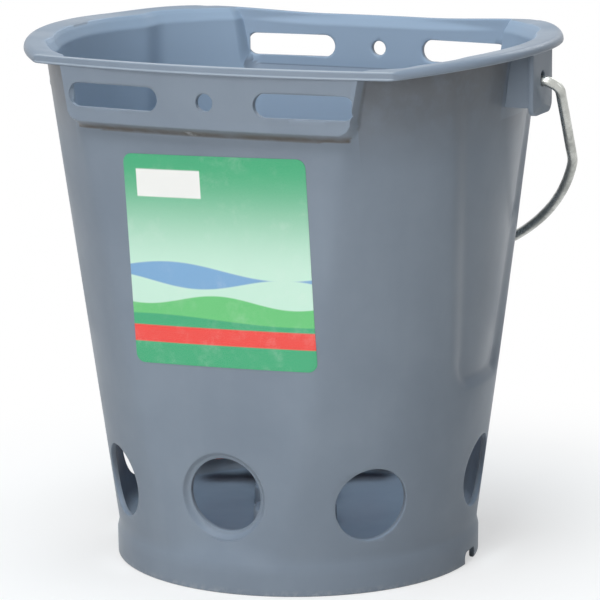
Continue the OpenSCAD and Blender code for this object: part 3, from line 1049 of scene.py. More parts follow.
class Bucket:
    """The moulded bucket: wall, rim, bands, foot, floor, ears and holes in one piece."""

    HOLES = (TeatHole(-180, 51.5), TeatHole(-134, 49.0), TeatHole(-90, 52.5, dished=True),
             TeatHole(-43.7, 49.0), TeatHole(5.5, 51.5))
    SLOT_Z, SLOT_X, SLOT_LEN, SLOT_H, SLOT_ASIDE = 266.0, 54.1, 53.8, 12.6, 1.8
    SLOT_OVER, SLOT_SHORT = 0.8, 3.4
    HANG_R = {-1: 4.7, 1: 4.2}
    EAR_X, EAR_T, EAR_HALF, EAR_LOW, EAR_ROUND = 143.0, 3.0, 15.0, 251.5, 6.0
    WEB_ROOT, WEB_INSET, WEB_LOW = 126.4, 1.5, 256.0
    HINGE_Z, WIRE_HOLE, EAR_PLAY = 269.0, 2.83, 2.6
    SEAT_W, SEAT_DEPTH, PAD_T, PAD_R = 3.6, 3.0, 2.6, 26.6
    NOTCH_TURN, NOTCH_HALF, NOTCH_H, NOTCH_ROUND = 4.0, 8.5, 7.0, 3.5
    MOUTH_EASE, FLOOR_ROUND, FLOOR_R, RISE_FROM, RISE_OVER = 0.8, 5.0, 97.0, 258.0, 26.0
    BACK_RISE, BACK_DIP = 3.0, 0.5
    BACK_X, BACK_Y, BACK_Z = (30.0, 75.0), (40.0, 60.0), (245.0, 35.0)
    OUTER_SPANS = ((0.0, 0.8, 3), (0.8, 17.0, 5), (17.0, 27.0, 14), (27.0, 97.0, 22), (97.0, 111.0, 10),
                   (111.0, 243.0, 40), (243.0, 257.0, 20), (257.0, 279.0, 9))
    INNER_SPANS = ((283.4, 276.0, 10), (274.0, 256.0, 7), (255.0, 244.0, 12), (239.0, 114.0, 26),
                   (111.0, 96.0, 8), (90.0, 26.5, 12))
    RIM_UNDER = ((1.3, 0.0, 0.5, 0.0), (0.5, 0.1, 0.22, 0.08), (0.12, 0.42, 0.06, 0.22),
                 (0.0, 0.8, 0.0, 0.45), (0.0, 0.85, 0.08, 0.72), (0.0, 0.9, 0.4, 1.08),
                 (0.0, 0.95, 0.66, 1.34))

    def __init__(self, form: BucketForm) -> None:
        """Keeps the form that the bucket follows."""
        self.form = form

    def heights(self) -> list[float]:
        """Levels of the outer wall from the foot's edge to the rim, close together where it bends."""
        runs = [np.linspace(low, high, count + 1)[1:] for low, high, count in self.OUTER_SPANS]
        return np.concatenate([[0.0], *runs]).tolist()

    def body(self) -> bpy.types.Object:
        """Makes the closed shell, without holes and ears.

        Returns:
            The shell.
        """
        f = self.form
        rings: list[np.ndarray] = []

        def disc(r: float, z: float) -> np.ndarray:
            """A level circle with a ring's columns.

            Args:
                r: Radius.
                z: Height.

            Returns:
                Points, n by 3.
            """
            flat = f.ring(30.0, 1.0)
            flat = flat * (r / np.hypot(flat[:, 0], flat[:, 1]))[:, None]
            flat[:, 2] = z
            return flat

        under, skirt = f.floor_z - f.floor_t, f.foot_r - f.wall
        below = [(25.0, under), (60.0, under), (90.0, under), (skirt - 2.0, under),
                 (skirt - 0.6, under - 0.5), (skirt, under - 2.0), (skirt, 8.0), (skirt, 0.9),
                 (skirt + 0.3, 0.25), (skirt + 0.9, 0.0)]
        rings += [disc(r, z) for r, z in below]
        rings += [f.ring(z, 0.0) for z in self.heights()]
        rings.append(f.ring(f.lip_low - 0.7, 0.0, 0.75))
        rings.append(f.ring(f.lip_low, 0.0, 1.0))
        rim = [*self.RIM_UNDER, (0.0, 1.0, f.bead, 1.7)]
        for k in range(1, 9):
            a = math.radians(90.0 * k / 8)
            rim.append((f.rim_round * (1 - math.cos(a)), f.rim_t - f.rim_round * (1 - math.sin(a)),
                        f.bead + f.lip_round * (1 - math.cos(a)), f.lip_t - f.lip_round * (1 - math.sin(a))))
        rings += [f.rim_ring(*row) for row in rim]
        top, thicker = f.lip_low + f.lip_t, f.rim_t - f.lip_t
        mouth, ease = f.wall - f.mouth_flare, self.MOUTH_EASE
        behind = f.bead + f.lip_round + 0.5
        edge = f.ring(top, mouth - ease, 1.0, thicker, behind)
        rings += [rings[-1] * (1 - t) + edge * t for t in (0.33, 0.67)]
        for k in range(4):
            a = math.radians(90.0 * k / 3)
            inset, z = mouth - ease * (1 - math.sin(a)), top - ease * (1 - math.cos(a))
            rings.append(f.ring(z, inset, 1.0, thicker, behind + ease * math.sin(a)))
        for z in np.concatenate([np.linspace(*span) for span in self.INNER_SPANS]):
            flare = float(soft_rise(np.asarray(z - f.mouth_low), 1.2)) / (top - f.mouth_low)
            rise = float(np.clip((z - self.RISE_FROM) / self.RISE_OVER, 0, 1))
            rings.append(f.ring(z, f.wall - f.mouth_flare * flare, rise, thicker, behind + ease))
        low, fillet = rings[-1], self.FLOOR_ROUND
        for k in range(1, 6):
            a = math.radians(90.0 * k / 5)
            ring = low * (1 - fillet * (1 - math.cos(a)) / self.FLOOR_R)
            ring[:, 2] = f.floor_z + fillet * (1 - math.sin(a))
            rings.append(ring)
        last = rings[-1]
        for share in (0.75, 0.45, 0.2):
            ring = last * share
            ring[:, 2] = f.floor_z
            rings.append(ring)
        return solid("feeder_bucket", [self.risen_back(r) for r in rings])

    def risen_back(self, ring: np.ndarray) -> np.ndarray:
        """Raises the rim's two back corners a little, with the wall under them.

        Args:
            ring: Points, n by 3.

        Returns:
            The raised points.
        """
        x, y, z = ring.T
        rise = self.BACK_RISE * eased(np.abs(x), *self.BACK_X) - self.BACK_DIP
        near = eased(y, *self.BACK_Y) * eased(z, *self.BACK_Z)
        return stacked(x, y, z + rise * near)

    def hole_axes(self, hole: TeatHole) -> tuple[np.ndarray, np.ndarray, np.ndarray, np.ndarray, float]:
        """Centre on the outer face, tangent, upward and outward directions, and the wall's radius there.

        Args:
            hole: The hole.

        Returns:
            The four vectors and the radius.
        """
        f = self.form
        a = math.radians(hole.turn)
        flat = np.array([math.cos(a), math.sin(a), 0.0])
        tangent = np.array([-math.sin(a), math.cos(a), 0.0])
        if hole.dished:
            slope = (f.face_high - f.face_low) / (f.face_top - f.foot_h)
            r, curve = float(f.face_y(hole.z)), f.bow_r
        else:
            slope = (f.r_top - f.r_low) / (f.rim_z - f.foot_h)
            r = float(f.wall_r(hole.z))
            curve = r
        lean = math.atan(slope)
        out = flat * math.cos(lean) + np.array([0, 0, -math.sin(lean)])
        up = flat * math.sin(lean) + np.array([0, 0, math.cos(lean)])
        return flat * r + np.array([0, 0, hole.z]), tangent, up, out, curve

    def hole_tool(self, hole: TeatHole) -> bpy.types.Object:
        """The cutter for a hole, with its edge eased along the curved wall.

        Args:
            hole: The hole.

        Returns:
            The cutter.
        """
        centre, tangent, up, out, curve = self.hole_axes(hole)
        turns = full_turn(96)
        if hole.dished:
            w, d = self.SEAT_W, self.SEAT_DEPTH
            steps = [(-30.0, 0.0, 0), (-d - 0.2, 0.0, 0), (-d, 0.12, 0), (-d + 0.15, 0.5, 0)]
            for k in range(7):
                t = k / 6
                steps.append((-d + 0.2 + (d - 0.5) * t ** 1.5, 0.6 + (w - 0.7) * t ** 0.8, 1))
            steps += [(-0.12, w + 0.1, 1), (0.0, w + 0.45, 1), (0.15, w + 0.9, 1), (9.0, w + 0.9, 0)]
        else:
            steps = [(-30.0, 0.0, 0), (-1.0, 0.0, 1), (-0.45, 0.0, 1), (-0.2, 0.10, 1), (0.0, 0.45, 1),
                     (0.2, 0.9, 1), (9.0, 0.9, 0)]
        rings = []
        for w, grow, follow in steps:
            r = hole.r + grow
            across = r * np.cos(turns)
            sag = follow * across ** 2 / (2 * curve)
            rings.append(centre + across[:, None] * tangent + (r * np.sin(turns))[:, None] * up
                         + (w - sag)[:, None] * out)
        return solid(f"cut_hole_{int(hole.turn)}", rings)

    def pad_tool(self, hole: TeatHole) -> bpy.types.Object:
        """The round pad behind the dished hole.

        Args:
            hole: The hole.

        Returns:
            The pad.
        """
        centre, tangent, up, out, _ = self.hole_axes(hole)
        turns = full_turn(96)
        back, wide = -self.form.wall - self.PAD_T, self.PAD_R
        rings = []
        for w, r in ((back, wide - 1.5), (back + 0.4, wide - 0.4), (back + 1.4, wide), (-1.5, wide)):
            circle = (r * np.cos(turns))[:, None] * tangent + (r * np.sin(turns))[:, None] * up
            rings.append(centre + circle + w * out)
        return solid("add_pad", rings)

    def slot_tool(self, x: float, length: float, height: float, side: int) -> bpy.types.Object:
        """The cutter for a slot or round hole through a band, with eased edges.

        Args:
            x: Middle of the slot.
            length: Length with its round ends.
            height: Height, which is also the width of its ends.
            side: -1 for the front band and 1 for the back one.

        Returns:
            The cutter.
        """
        f = self.form
        a = np.linspace(-math.pi / 2, math.pi / 2, 32)
        r, reach = height / 2, (length - height) / 2
        apart = np.linspace(0, 1e-3, 2 * len(a))
        steps = [(-14.0, 0.9, 0), (-f.wall - 0.2, 0.9, 1), (-f.wall, 0.45, 1), (-f.wall + 0.4, 0.0, 1),
                 (-0.6, 0.0, 1), (-0.3, 0.1, 1), (0.0, 0.5, 1), (0.2, 1.0, 1), (8.0, 1.0, 0)]
        rings = []
        for depth, grow, follow in steps:
            across, upward = (r + grow) * np.cos(a), (r + grow) * np.sin(a)
            px = np.concatenate([reach + across, -reach - across]) + x
            px = np.minimum(px, f.band_half + self.SLOT_OVER + apart)
            if depth < -2.0:
                px = np.maximum(px, self.SLOT_SHORT - f.band_half - apart)
            pz = np.concatenate([upward, -upward]) + self.SLOT_Z
            fade = np.maximum(1.0 - (px / f.band_half) ** 2, 0.0)
            lean = f.band_lean * (self.SLOT_Z - f.band_low) * (depth > -1.0) * fade
            py = side * (f.band_y + lean + depth - follow * f.band_fall(px))
            rings.append(stacked(px, py, pz))
        return solid("cut_slot", rings)

    def prism(self, name: str, outline: np.ndarray, steps: Sequence[tuple[float, float]],
              frame_of: Callable) -> bpy.types.Object:
        """A closed prism over a flat outline, with its ends eased.

        Args:
            name: Name of the tool.
            outline: Points, n by 2.
            steps: Pairs of depth and inset along the prism.
            frame_of: Gives 3-D points from the outline's two coordinates and the depth.

        Returns:
            The tool.
        """
        middle = outline.mean(axis=0)
        spread = np.abs(outline - middle).max(axis=0)
        rings = []
        for depth, inset in steps:
            shape = middle + (outline - middle) * (1 - inset / spread)
            rings.append(frame_of(shape[:, 0], shape[:, 1], depth))
        return solid(name, rings)

    def ear_tools(self, side: int) -> list[tuple[bpy.types.Object, Cut]]:
        """Plate, webs and drawn-out hole of one ear.

        Args:
            side: -1 for the left ear and 1 for the right one.

        Returns:
            Tools and what each one does.
        """
        f = self.form

        def along_x(y: np.ndarray, z: np.ndarray, x: float) -> np.ndarray:
            """Points at a distance from the middle plane."""
            return stacked(side * x, y, z)

        r, half, low, top = self.EAR_ROUND, self.EAR_HALF, self.EAR_LOW, f.rim_z - f.rim_t / 2
        plate = np.vstack([quarter(half - r, low + r, r, -90), [[half, top], [-half, top]],
                           quarter(r - half, low + r, r, 180)])
        x0, x1 = self.EAR_X - self.EAR_T, self.EAR_X
        ease = [(x0, 0.6), (x0 + 0.2, 0.2), (x0 + 0.6, 0.0), (x1 - 0.6, 0.0), (x1 - 0.2, 0.2), (x1, 0.6)]
        tools = [(self.prism("add_plate", plate, ease, along_x), Cut.ADD)]
        for hand in (-1, 1):
            y0 = hand * (half - self.WEB_INSET - self.EAR_T)
            y1 = hand * (half - self.WEB_INSET)
            web = np.array([[y0, self.WEB_LOW], [y1, self.WEB_LOW], [y1, top], [y0, top]])
            steps = [(self.WEB_ROOT, 0.0), (x0 + 1.0, 0.0)]

            def leaned(y: np.ndarray, z: np.ndarray, x: float) -> np.ndarray:
                """Points of a web, whose root leans with the wall."""
                root = x + (f.wall_r(z) - f.wall_r(np.asarray(self.WEB_LOW))) * (x < 130.0)
                return stacked(side * root, y, z)

            tools.append((self.prism("add_web", web, steps, leaned), Cut.ADD))
        b = np.linspace(0, math.pi, 17)
        w = self.WIRE_HOLE
        hole = np.vstack([stacked(w * np.cos(b), self.HINGE_Z + self.EAR_PLAY + w * np.sin(b)),
                          stacked(-w * np.cos(b), self.HINGE_Z - w * np.sin(b))])
        steps = [(x0 - 2.0, 0.0), (x1 - 0.5, 0.0), (x1 - 0.1, -0.25), (x1 + 0.3, -0.6), (x1 + 4.0, -0.6)]
        tools.append((self.prism("cut_ear", hole, steps, along_x), Cut.TAKE))
        return tools

    def notch_tool(self) -> bpy.types.Object:
        """The cutter for the notch in the foot ring.

        Returns:
            The cutter.
        """
        c, s = math.cos(math.radians(self.NOTCH_TURN)), math.sin(math.radians(self.NOTCH_TURN))
        half, h, r = self.NOTCH_HALF, self.NOTCH_H, self.NOTCH_ROUND
        outline = np.vstack([[[half, -2.0]], quarter(half - r, h - r, r, 0), quarter(r - half, h - r, r, 90),
                             [[-half, -2.0]]])

        def outward(y: np.ndarray, z: np.ndarray, x: float) -> np.ndarray:
            """Points turned to the notch's bearing."""
            return stacked(x * c - y * s, x * s + y * c, z)

        return self.prism("cut_notch", outline, [(90.0, 0.0), (110.0, 0.0)], outward)

    def build(self, material: bpy.types.Material) -> bpy.types.Object:
        """Makes the bucket and puts it on its body.

        Args:
            material: Finish of the plastic.

        Returns:
            The bucket.
        """
        obj = self.body()
        dished = next(h for h in self.HOLES if h.dished)
        tools = [(self.pad_tool(dished), Cut.ADD)]
        for side in (-1, 1):
            tools += self.ear_tools(side)
        tools += [(self.hole_tool(h), Cut.TAKE) for h in self.HOLES]
        for side in (-1, 1):
            for x in (-self.SLOT_X, self.SLOT_X):
                slot = self.slot_tool(self.SLOT_ASIDE + x, self.SLOT_LEN, self.SLOT_H, side)
                tools.append((slot, Cut.TAKE))
            wide = 2 * self.HANG_R[side]
            tools.append((self.slot_tool(self.SLOT_ASIDE, wide + 0.01, wide, side), Cut.TAKE))
        tools.append((self.notch_tool(), Cut.TAKE))
        carve(obj, tools)
        shade(obj)
        BucketPaint(self.form, self.EAR_HALF, self.EAR_LOW).apply(obj)
        finish_piece(obj, "bucket", material, ["bucket"])
        return obj


@dataclass
class Label:
    """The printed film on the front face."""

    width: float = 104.0
    height: float = 113.0
    thickness: float = 0.25
    x: float = 2.8
    z: float = 180.4
    turn: float = 1.4
    corner: float = 5.0

    def build(self, form: BucketForm, material: bpy.types.Material) -> bpy.types.Object:
        """Makes the label on the face and puts it on the bucket's body.

        Args:
            form: The bucket's surfaces.
            material: The printed finish.

        Returns:
            The label.
        """
        w, h, r = self.width / 2, self.height / 2, self.corner
        corners = ((w - r, h - r), (r - w, h - r), (r - w, r - h), (w - r, r - h))
        arcs = [quarter(x, y, r, 90 * k) for k, (x, y) in enumerate(corners)]
        outline: list[np.ndarray] = []
        run = np.linspace(0, 1, 26)[1:-1, None]
        for arc, after in zip(arcs, arcs[1:] + arcs[:1]):
            outline += [arc, arc[-1] + (after[0] - arc[-1]) * run]
        edge = np.vstack(outline)
        shares = np.concatenate([np.linspace(0.04, 0.96, 24), [0.985, 1.0]])
        tilt = math.radians(self.turn)

        def on_face(flat: np.ndarray, lift: float) -> np.ndarray:
            """Points of the flat label laid on the face.

            Args:
                flat: Points, n by 2.
                lift: Height above the face.

            Returns:
                Points, n by 3.
            """
            px = self.x + flat[:, 0] * math.cos(tilt) - flat[:, 1] * math.sin(tilt)
            pz = self.z + flat[:, 0] * math.sin(tilt) + flat[:, 1] * math.cos(tilt)
            return stacked(px, -(form.front_y(px, pz, 0.0) + lift), pz)

        flats = [edge * s for s in shares] + [edge * 1.0, edge * 0.97]
        lifts = [self.thickness + 0.03] * (len(shares) - 1) + [self.thickness - 0.02, 0.03, 0.03]
        points, faces = loft([on_face(p, d) for p, d in zip(flats, lifts)])
        obj = mesh_object("front_label", points, faces)
        uv = obj.data.uv_layers.new(name="print")
        flat_all = np.vstack(flats + [np.zeros((1, 2)), np.zeros((1, 2))])
        index = np.empty(len(obj.data.loops), dtype=np.int32)
        obj.data.loops.foreach_get("vertex_index", index)
        on_print = flat_all / [self.width, self.height] + 0.5
        uv.data.foreach_set("uv", on_print[index].astype(np.float32).ravel())
        face_outwards(obj, merge=False)
        shade(obj, 40)
        finish_piece(obj, "bucket", material, ["label"])
        return obj


@dataclass
class Bail:
    """The wire bail, swept along its centre line by a node tree."""

    wire_r: float = 2.75
    hinge_z: float = 269.0
    ear_in: float = 139.5
    head_r: float = 4.3
    head_t: float = 2.0
    arm_x: float = 151.0
    arm_len: float = 62.0
    lean: float = 6.0
    bend_r: float = 8.0
    knee_r: float = 26.0
    knee_turn: float = 19.8
    rest: float = 41.68
    sides: int = 24

    def centre_line(self) -> np.ndarray:
        """Points of the wire's centre line, from one end to the other, as it hangs.

        Returns:
            Points, n by 3.
        """
        lean = math.radians(self.lean)
        bend_x = self.arm_x - self.bend_r
        line = [(self.ear_in - self.head_t, 0.0), (bend_x - 2.0, 0.0)]
        for a in np.linspace(-math.pi / 2, lean, 19):
            line.append((bend_x + self.bend_r * math.cos(a), self.bend_r + self.bend_r * math.sin(a)))
        start = line[-1]
        run = (self.arm_len - start[1]) / math.cos(lean)
        for t in (0.25, 0.5, 0.75):
            line.append((start[0] - run * t * math.sin(lean), start[1] + run * t * math.cos(lean)))
        end = (start[0] - run * math.sin(lean), self.arm_len)
        knee = (end[0] - self.knee_r * math.cos(lean), end[1] - self.knee_r * math.sin(lean))
        turn = math.radians(self.knee_turn)
        for a in np.linspace(lean, turn, 9):
            line.append((knee[0] + self.knee_r * math.cos(a), knee[1] + self.knee_r * math.sin(a)))
        bow_r = self.knee_r + knee[0] / math.cos(turn)
        bow_s = knee[1] - knee[0] * math.tan(turn)
        for a in np.linspace(turn, math.pi / 2, 41)[1:]:
            line.append((bow_r * math.cos(a), bow_s + bow_r * math.sin(a)))
        half = np.array(line)
        flat = np.vstack([half, (half * [-1, 1])[::-1][1:]])
        g = math.radians(self.rest)
        return stacked(flat[:, 0], flat[:, 1] * math.sin(g), self.hinge_z - flat[:, 1] * math.cos(g))

    def sweep_tree(self, material: bpy.types.Material) -> bpy.types.NodeTree:
        """A node tree that sweeps a round wire along a line of edges.

        Args:
            material: The wire's finish.

        Returns:
            The tree.
        """
        tree = bpy.data.node_groups.new("wire_sweep", "GeometryNodeTree")
        sockets = (("Geometry", "INPUT", "Geometry"), ("Wire radius", "INPUT", "Float"),
                   ("Sides", "INPUT", "Int"), ("Geometry", "OUTPUT", "Geometry"))
        for name, way, kind in sockets:
            tree.interface.new_socket(name, in_out=way, socket_type="NodeSocket" + kind)
        source, sink = tree.nodes.new("NodeGroupInput"), tree.nodes.new("NodeGroupOutput")
        kinds = ("MeshToCurve", "CurvePrimitiveCircle", "CurveToMesh", "SetShadeSmooth", "RealizeInstances",
                 "SetMaterial")
        path, section, sweep, smooth, whole, dress = (tree.nodes.new("GeometryNode" + kind) for kind in kinds)
        sweep.inputs["Fill Caps"].default_value = True
        dress.inputs["Material"].default_value = material
        links = ((source.outputs["Geometry"], path.inputs[0]),
                 (source.outputs["Wire radius"], section.inputs["Radius"]),
                 (source.outputs["Sides"], section.inputs["Resolution"]),
                 (path.outputs[0], sweep.inputs["Curve"]),
                 (section.outputs[0], sweep.inputs["Profile Curve"]), (sweep.outputs[0], smooth.inputs[0]),
                 (smooth.outputs[0], whole.inputs[0]), (whole.outputs[0], dress.inputs[0]),
                 (dress.outputs[0], sink.inputs[0]))
        for a, b in links:
            tree.links.new(a, b)
        return tree

    def build(self, material: bpy.types.Material) -> bpy.types.Object:
        """Sweeps the wire, adds its two heads and puts it on the bail's body.

        Args:
            material: The zinc finish.

        Returns:
            The bail.
        """
        line = self.centre_line()
        mesh = bpy.data.meshes.new("wire_bail")
        mesh.from_pydata((line * MM).tolist(), [(i, i + 1) for i in range(len(line) - 1)], [])
        obj = put_in_scene("wire_bail", mesh)
        tree = self.sweep_tree(material)
        modifier = obj.modifiers.new("sweep", "NODES")
        modifier.node_group = tree
        values = {"Wire radius": self.wire_r * MM, "Sides": self.sides}
        for item in tree.interface.items_tree:
            if item.in_out == "INPUT" and item.name in values:
                modifier[item.identifier] = values[item.name]
        bake(obj)
        turns, t = full_turn(32), self.head_t
        tools = []
        for side in (-1, 1):
            rings = []
            for x, less in ((-t, 0.7), (0.3 - t, 0.2), (-1.0, 0.0), (-0.3, 0.2), (0.0, 0.7)):
                r = self.head_r - less
                across, upward = r * np.cos(turns), self.hinge_z + r * np.sin(turns)
                rings.append(stacked(side * (self.ear_in + x), across, upward))
            tools.append((solid("add_head", rings), Cut.ADD))
        face_outwards(obj)
        carve(obj, tools)
        shade(obj, 45)
        finish_piece(obj, "bail", material, ["bail"])
        return obj


@dataclass
class TeatSet:
    """One loose teat set: valve body, washer, ring nut, check valve and teat on a common axis."""

    key: str
    index: int
    flange_r: float = 22.4
    barrel_r: float = 19.0
    flange_t: float = 3.0
    barrel_z: float = 16.0
    washer_t: float = 1.6
    nut_z: float = 8.0
    lip_z: float = 18.5
    lip_plate: float = 3.0
    teat_foot: float = 2.4
    teat_r: float = 13.2
    teat_waist: float = 9.6
    teat_head: float = 10.6
    teat_len: float = 36.0
    teat_t: float = 2.6
    row_turn: float = 114.0
    row_shift: float = -1.5
    row_slide: float = 3.0
    space: float = 1.2
    floor_z: float = 21.55
    seat_gap: float = 0.03
    thread_gap: float = 0.06
    hole_r: float = 1.2
    ribs: int = 12
    rib_depth: float = 1.1
    neck_wave: float = 0.18
    neck_waves: float = 26.0

    def place(self) -> Matrix:
        """Where the set stands or lies, as a matrix in millimetres.

        Returns:
            The matrix.
        """
        lies = self.index > 2
        way = 1 if self.index == 3 else -1
        along = ((3 if lies else self.index) - 1.5) * (2 * self.flange_r + self.space) - self.row_slide
        row = Matrix.Rotation(math.radians(self.row_turn), 4, "Z")
        spot = row @ Matrix.Translation((along, -self.row_shift, self.floor_z))
        if lies:
            aside = Matrix.Translation((0, way * self.space, self.flange_r))
            spot = spot @ aside @ Matrix.Rotation(-way * math.pi / 2, 4, "X")
        return spot

    def lathe(self, name: str, profile: Sequence[tuple[float, float]], sides: int = 64,
              grip: Callable[[np.ndarray, float], np.ndarray] | None = None) -> bpy.types.Object:
        """Turns a closed half section about the set's axis.

        Args:
            name: Name of the piece.
            profile: Radius and height of each corner, in order round the section.
            sides: Number of columns.
            grip: Changes the radius by angle.

        Returns:
            The piece, at the set's place.
        """
        turns = full_turn(sides)
        rings = []
        for r, z in profile:
            radius = grip(turns, r) if grip else r
            rings.append(stacked(radius * np.cos(turns), radius * np.sin(turns), z))
        rings.append(rings[0])
        points, faces = loft(rings, caps=False)
        spot = np.array(self.place())
        points = points @ spot[:3, :3].T + spot[:3, 3]
        obj = mesh_object(name, points, faces)
        face_outwards(obj)
        return obj

    def teat(self, material: bpy.types.Material) -> None:
        """The rubber teat: clamped foot, ribbed neck, waist and round head with a small hole.

        Args:
            material: Its finish.
        """
        foot, tip = self.barrel_z + self.teat_foot, self.barrel_z + self.teat_foot + self.teat_len
        neck = self.lip_z + self.lip_plate
        head = tip - self.teat_head
        t, r, edge, seat = self.teat_t, self.teat_r, self.barrel_r - 0.1, self.barrel_z + self.seat_gap
        profile = [(r - t, seat), (edge - 0.4, seat), (edge, seat + 0.4), (edge, foot - 0.4),
                   (edge - 0.4, foot), (r + 0.05, foot), (r, foot + 0.3), (r, neck)]
        for k in range(1, 15):
            u = k / 15
            z = neck + (head - neck) * u
            bulge = r + (self.teat_waist - r) * smooth_step(np.asarray(u * 1.55))
            bulge = bulge + (self.teat_head - self.teat_waist) * smooth_step(np.asarray((u - 0.55) / 0.45))
            profile.append((float(bulge) - self.neck_wave * math.cos(u * self.neck_waves) * (u < 0.5), z))
        for a in np.linspace(0, math.acos(self.hole_r / self.teat_head), 13):
            profile.append((self.teat_head * math.cos(a), head + self.teat_head * math.sin(a)))
        inner = self.teat_head - t
        for a in np.linspace(math.acos(self.hole_r / inner), 0, 9):
            profile.append((inner * math.cos(a), head + inner * math.sin(a)))
        middle = (neck + head) / 2
        profile += [(self.teat_waist - t, middle), (r - t, neck)]
        obj = self.lathe(f"rubber_teat_{self.key}", profile, 56)
        shade(obj, 38)
        finish_piece(obj, f"teat_{self.key}", material, [f"teat_{self.key}"])

    def nut(self, material: bpy.types.Material) -> None:
        """The ring nut, with finger grooves round its rim.

        Args:
            material: Its finish.
        """
        low, top = self.nut_z, self.lip_z + self.lip_plate
        r, bore, mouth = self.flange_r, self.barrel_r + self.thread_gap, self.teat_r + 0.1

        def grip(turns: np.ndarray, radius: float) -> np.ndarray:
            """Hollows the outside between the ribs."""
            hollow = np.clip(np.cos(turns * self.ribs) * 1.6 - 0.25, 0, 1) ** 1.4
            return radius - self.rib_depth * hollow * (radius >= r - 2.5)

        profile = [(bore + 0.5, low), (r - 0.7, low), (r - 0.2, low + 0.25), (r, low + 0.8),
                   (r, (low + top) / 2), (r, top - 1.4), (r - 0.3, top - 0.6), (r - 1.1, top - 0.1),
                   (r - 2.0, top), (mouth + 1.2, top), (mouth + 0.3, top - 0.35), (mouth, top - 1.1),
                   (mouth, self.lip_z), (bore, self.lip_z), (bore, low + 0.6)]
        obj = self.lathe(f"ring_nut_{self.key}_dressed", profile, 192, grip)
        shade(obj, 34)
        finish_piece(obj, f"nut_{self.key}", material, [f"ring_nut_{self.key}"])

    def washer(self, material: bpy.types.Material) -> None:
        """The flat rubber washer on the flange.

        Args:
            material: Its finish.
        """
        z, r, bore, t = self.flange_t, self.flange_r, self.barrel_r + self.thread_gap, self.washer_t
        profile = [(bore, z), (r - 0.4, z), (r - 0.05, z + 0.35), (r - 0.05, z + t - 0.35), (r - 0.4, z + t),
                   (bore, z + t)]
        obj = self.lathe(f"seal_washer_{self.key}", profile, 64)
        shade(obj, 50)
        finish_piece(obj, f"set_{self.key}", material, [f"washer_{self.key}"])

    def build(self, finishes: dict[str, bpy.types.Material]) -> None:
        """Makes the set's pieces; its valve body and check valve keep the frame's shape.

        Args:
            finishes: Materials by slot.
        """
        self.teat(finishes["red_rubber"])
        self.nut(finishes["nut_plastic"])
        self.washer(finishes["black_rubber"])
        for node, slot in (("valve_body", "valve_plastic"), ("check_valve", "black_rubber")):
            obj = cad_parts[f"{node}_{self.key}"]
            obj.data.materials.clear()
            obj.data.materials.append(finishes[slot])


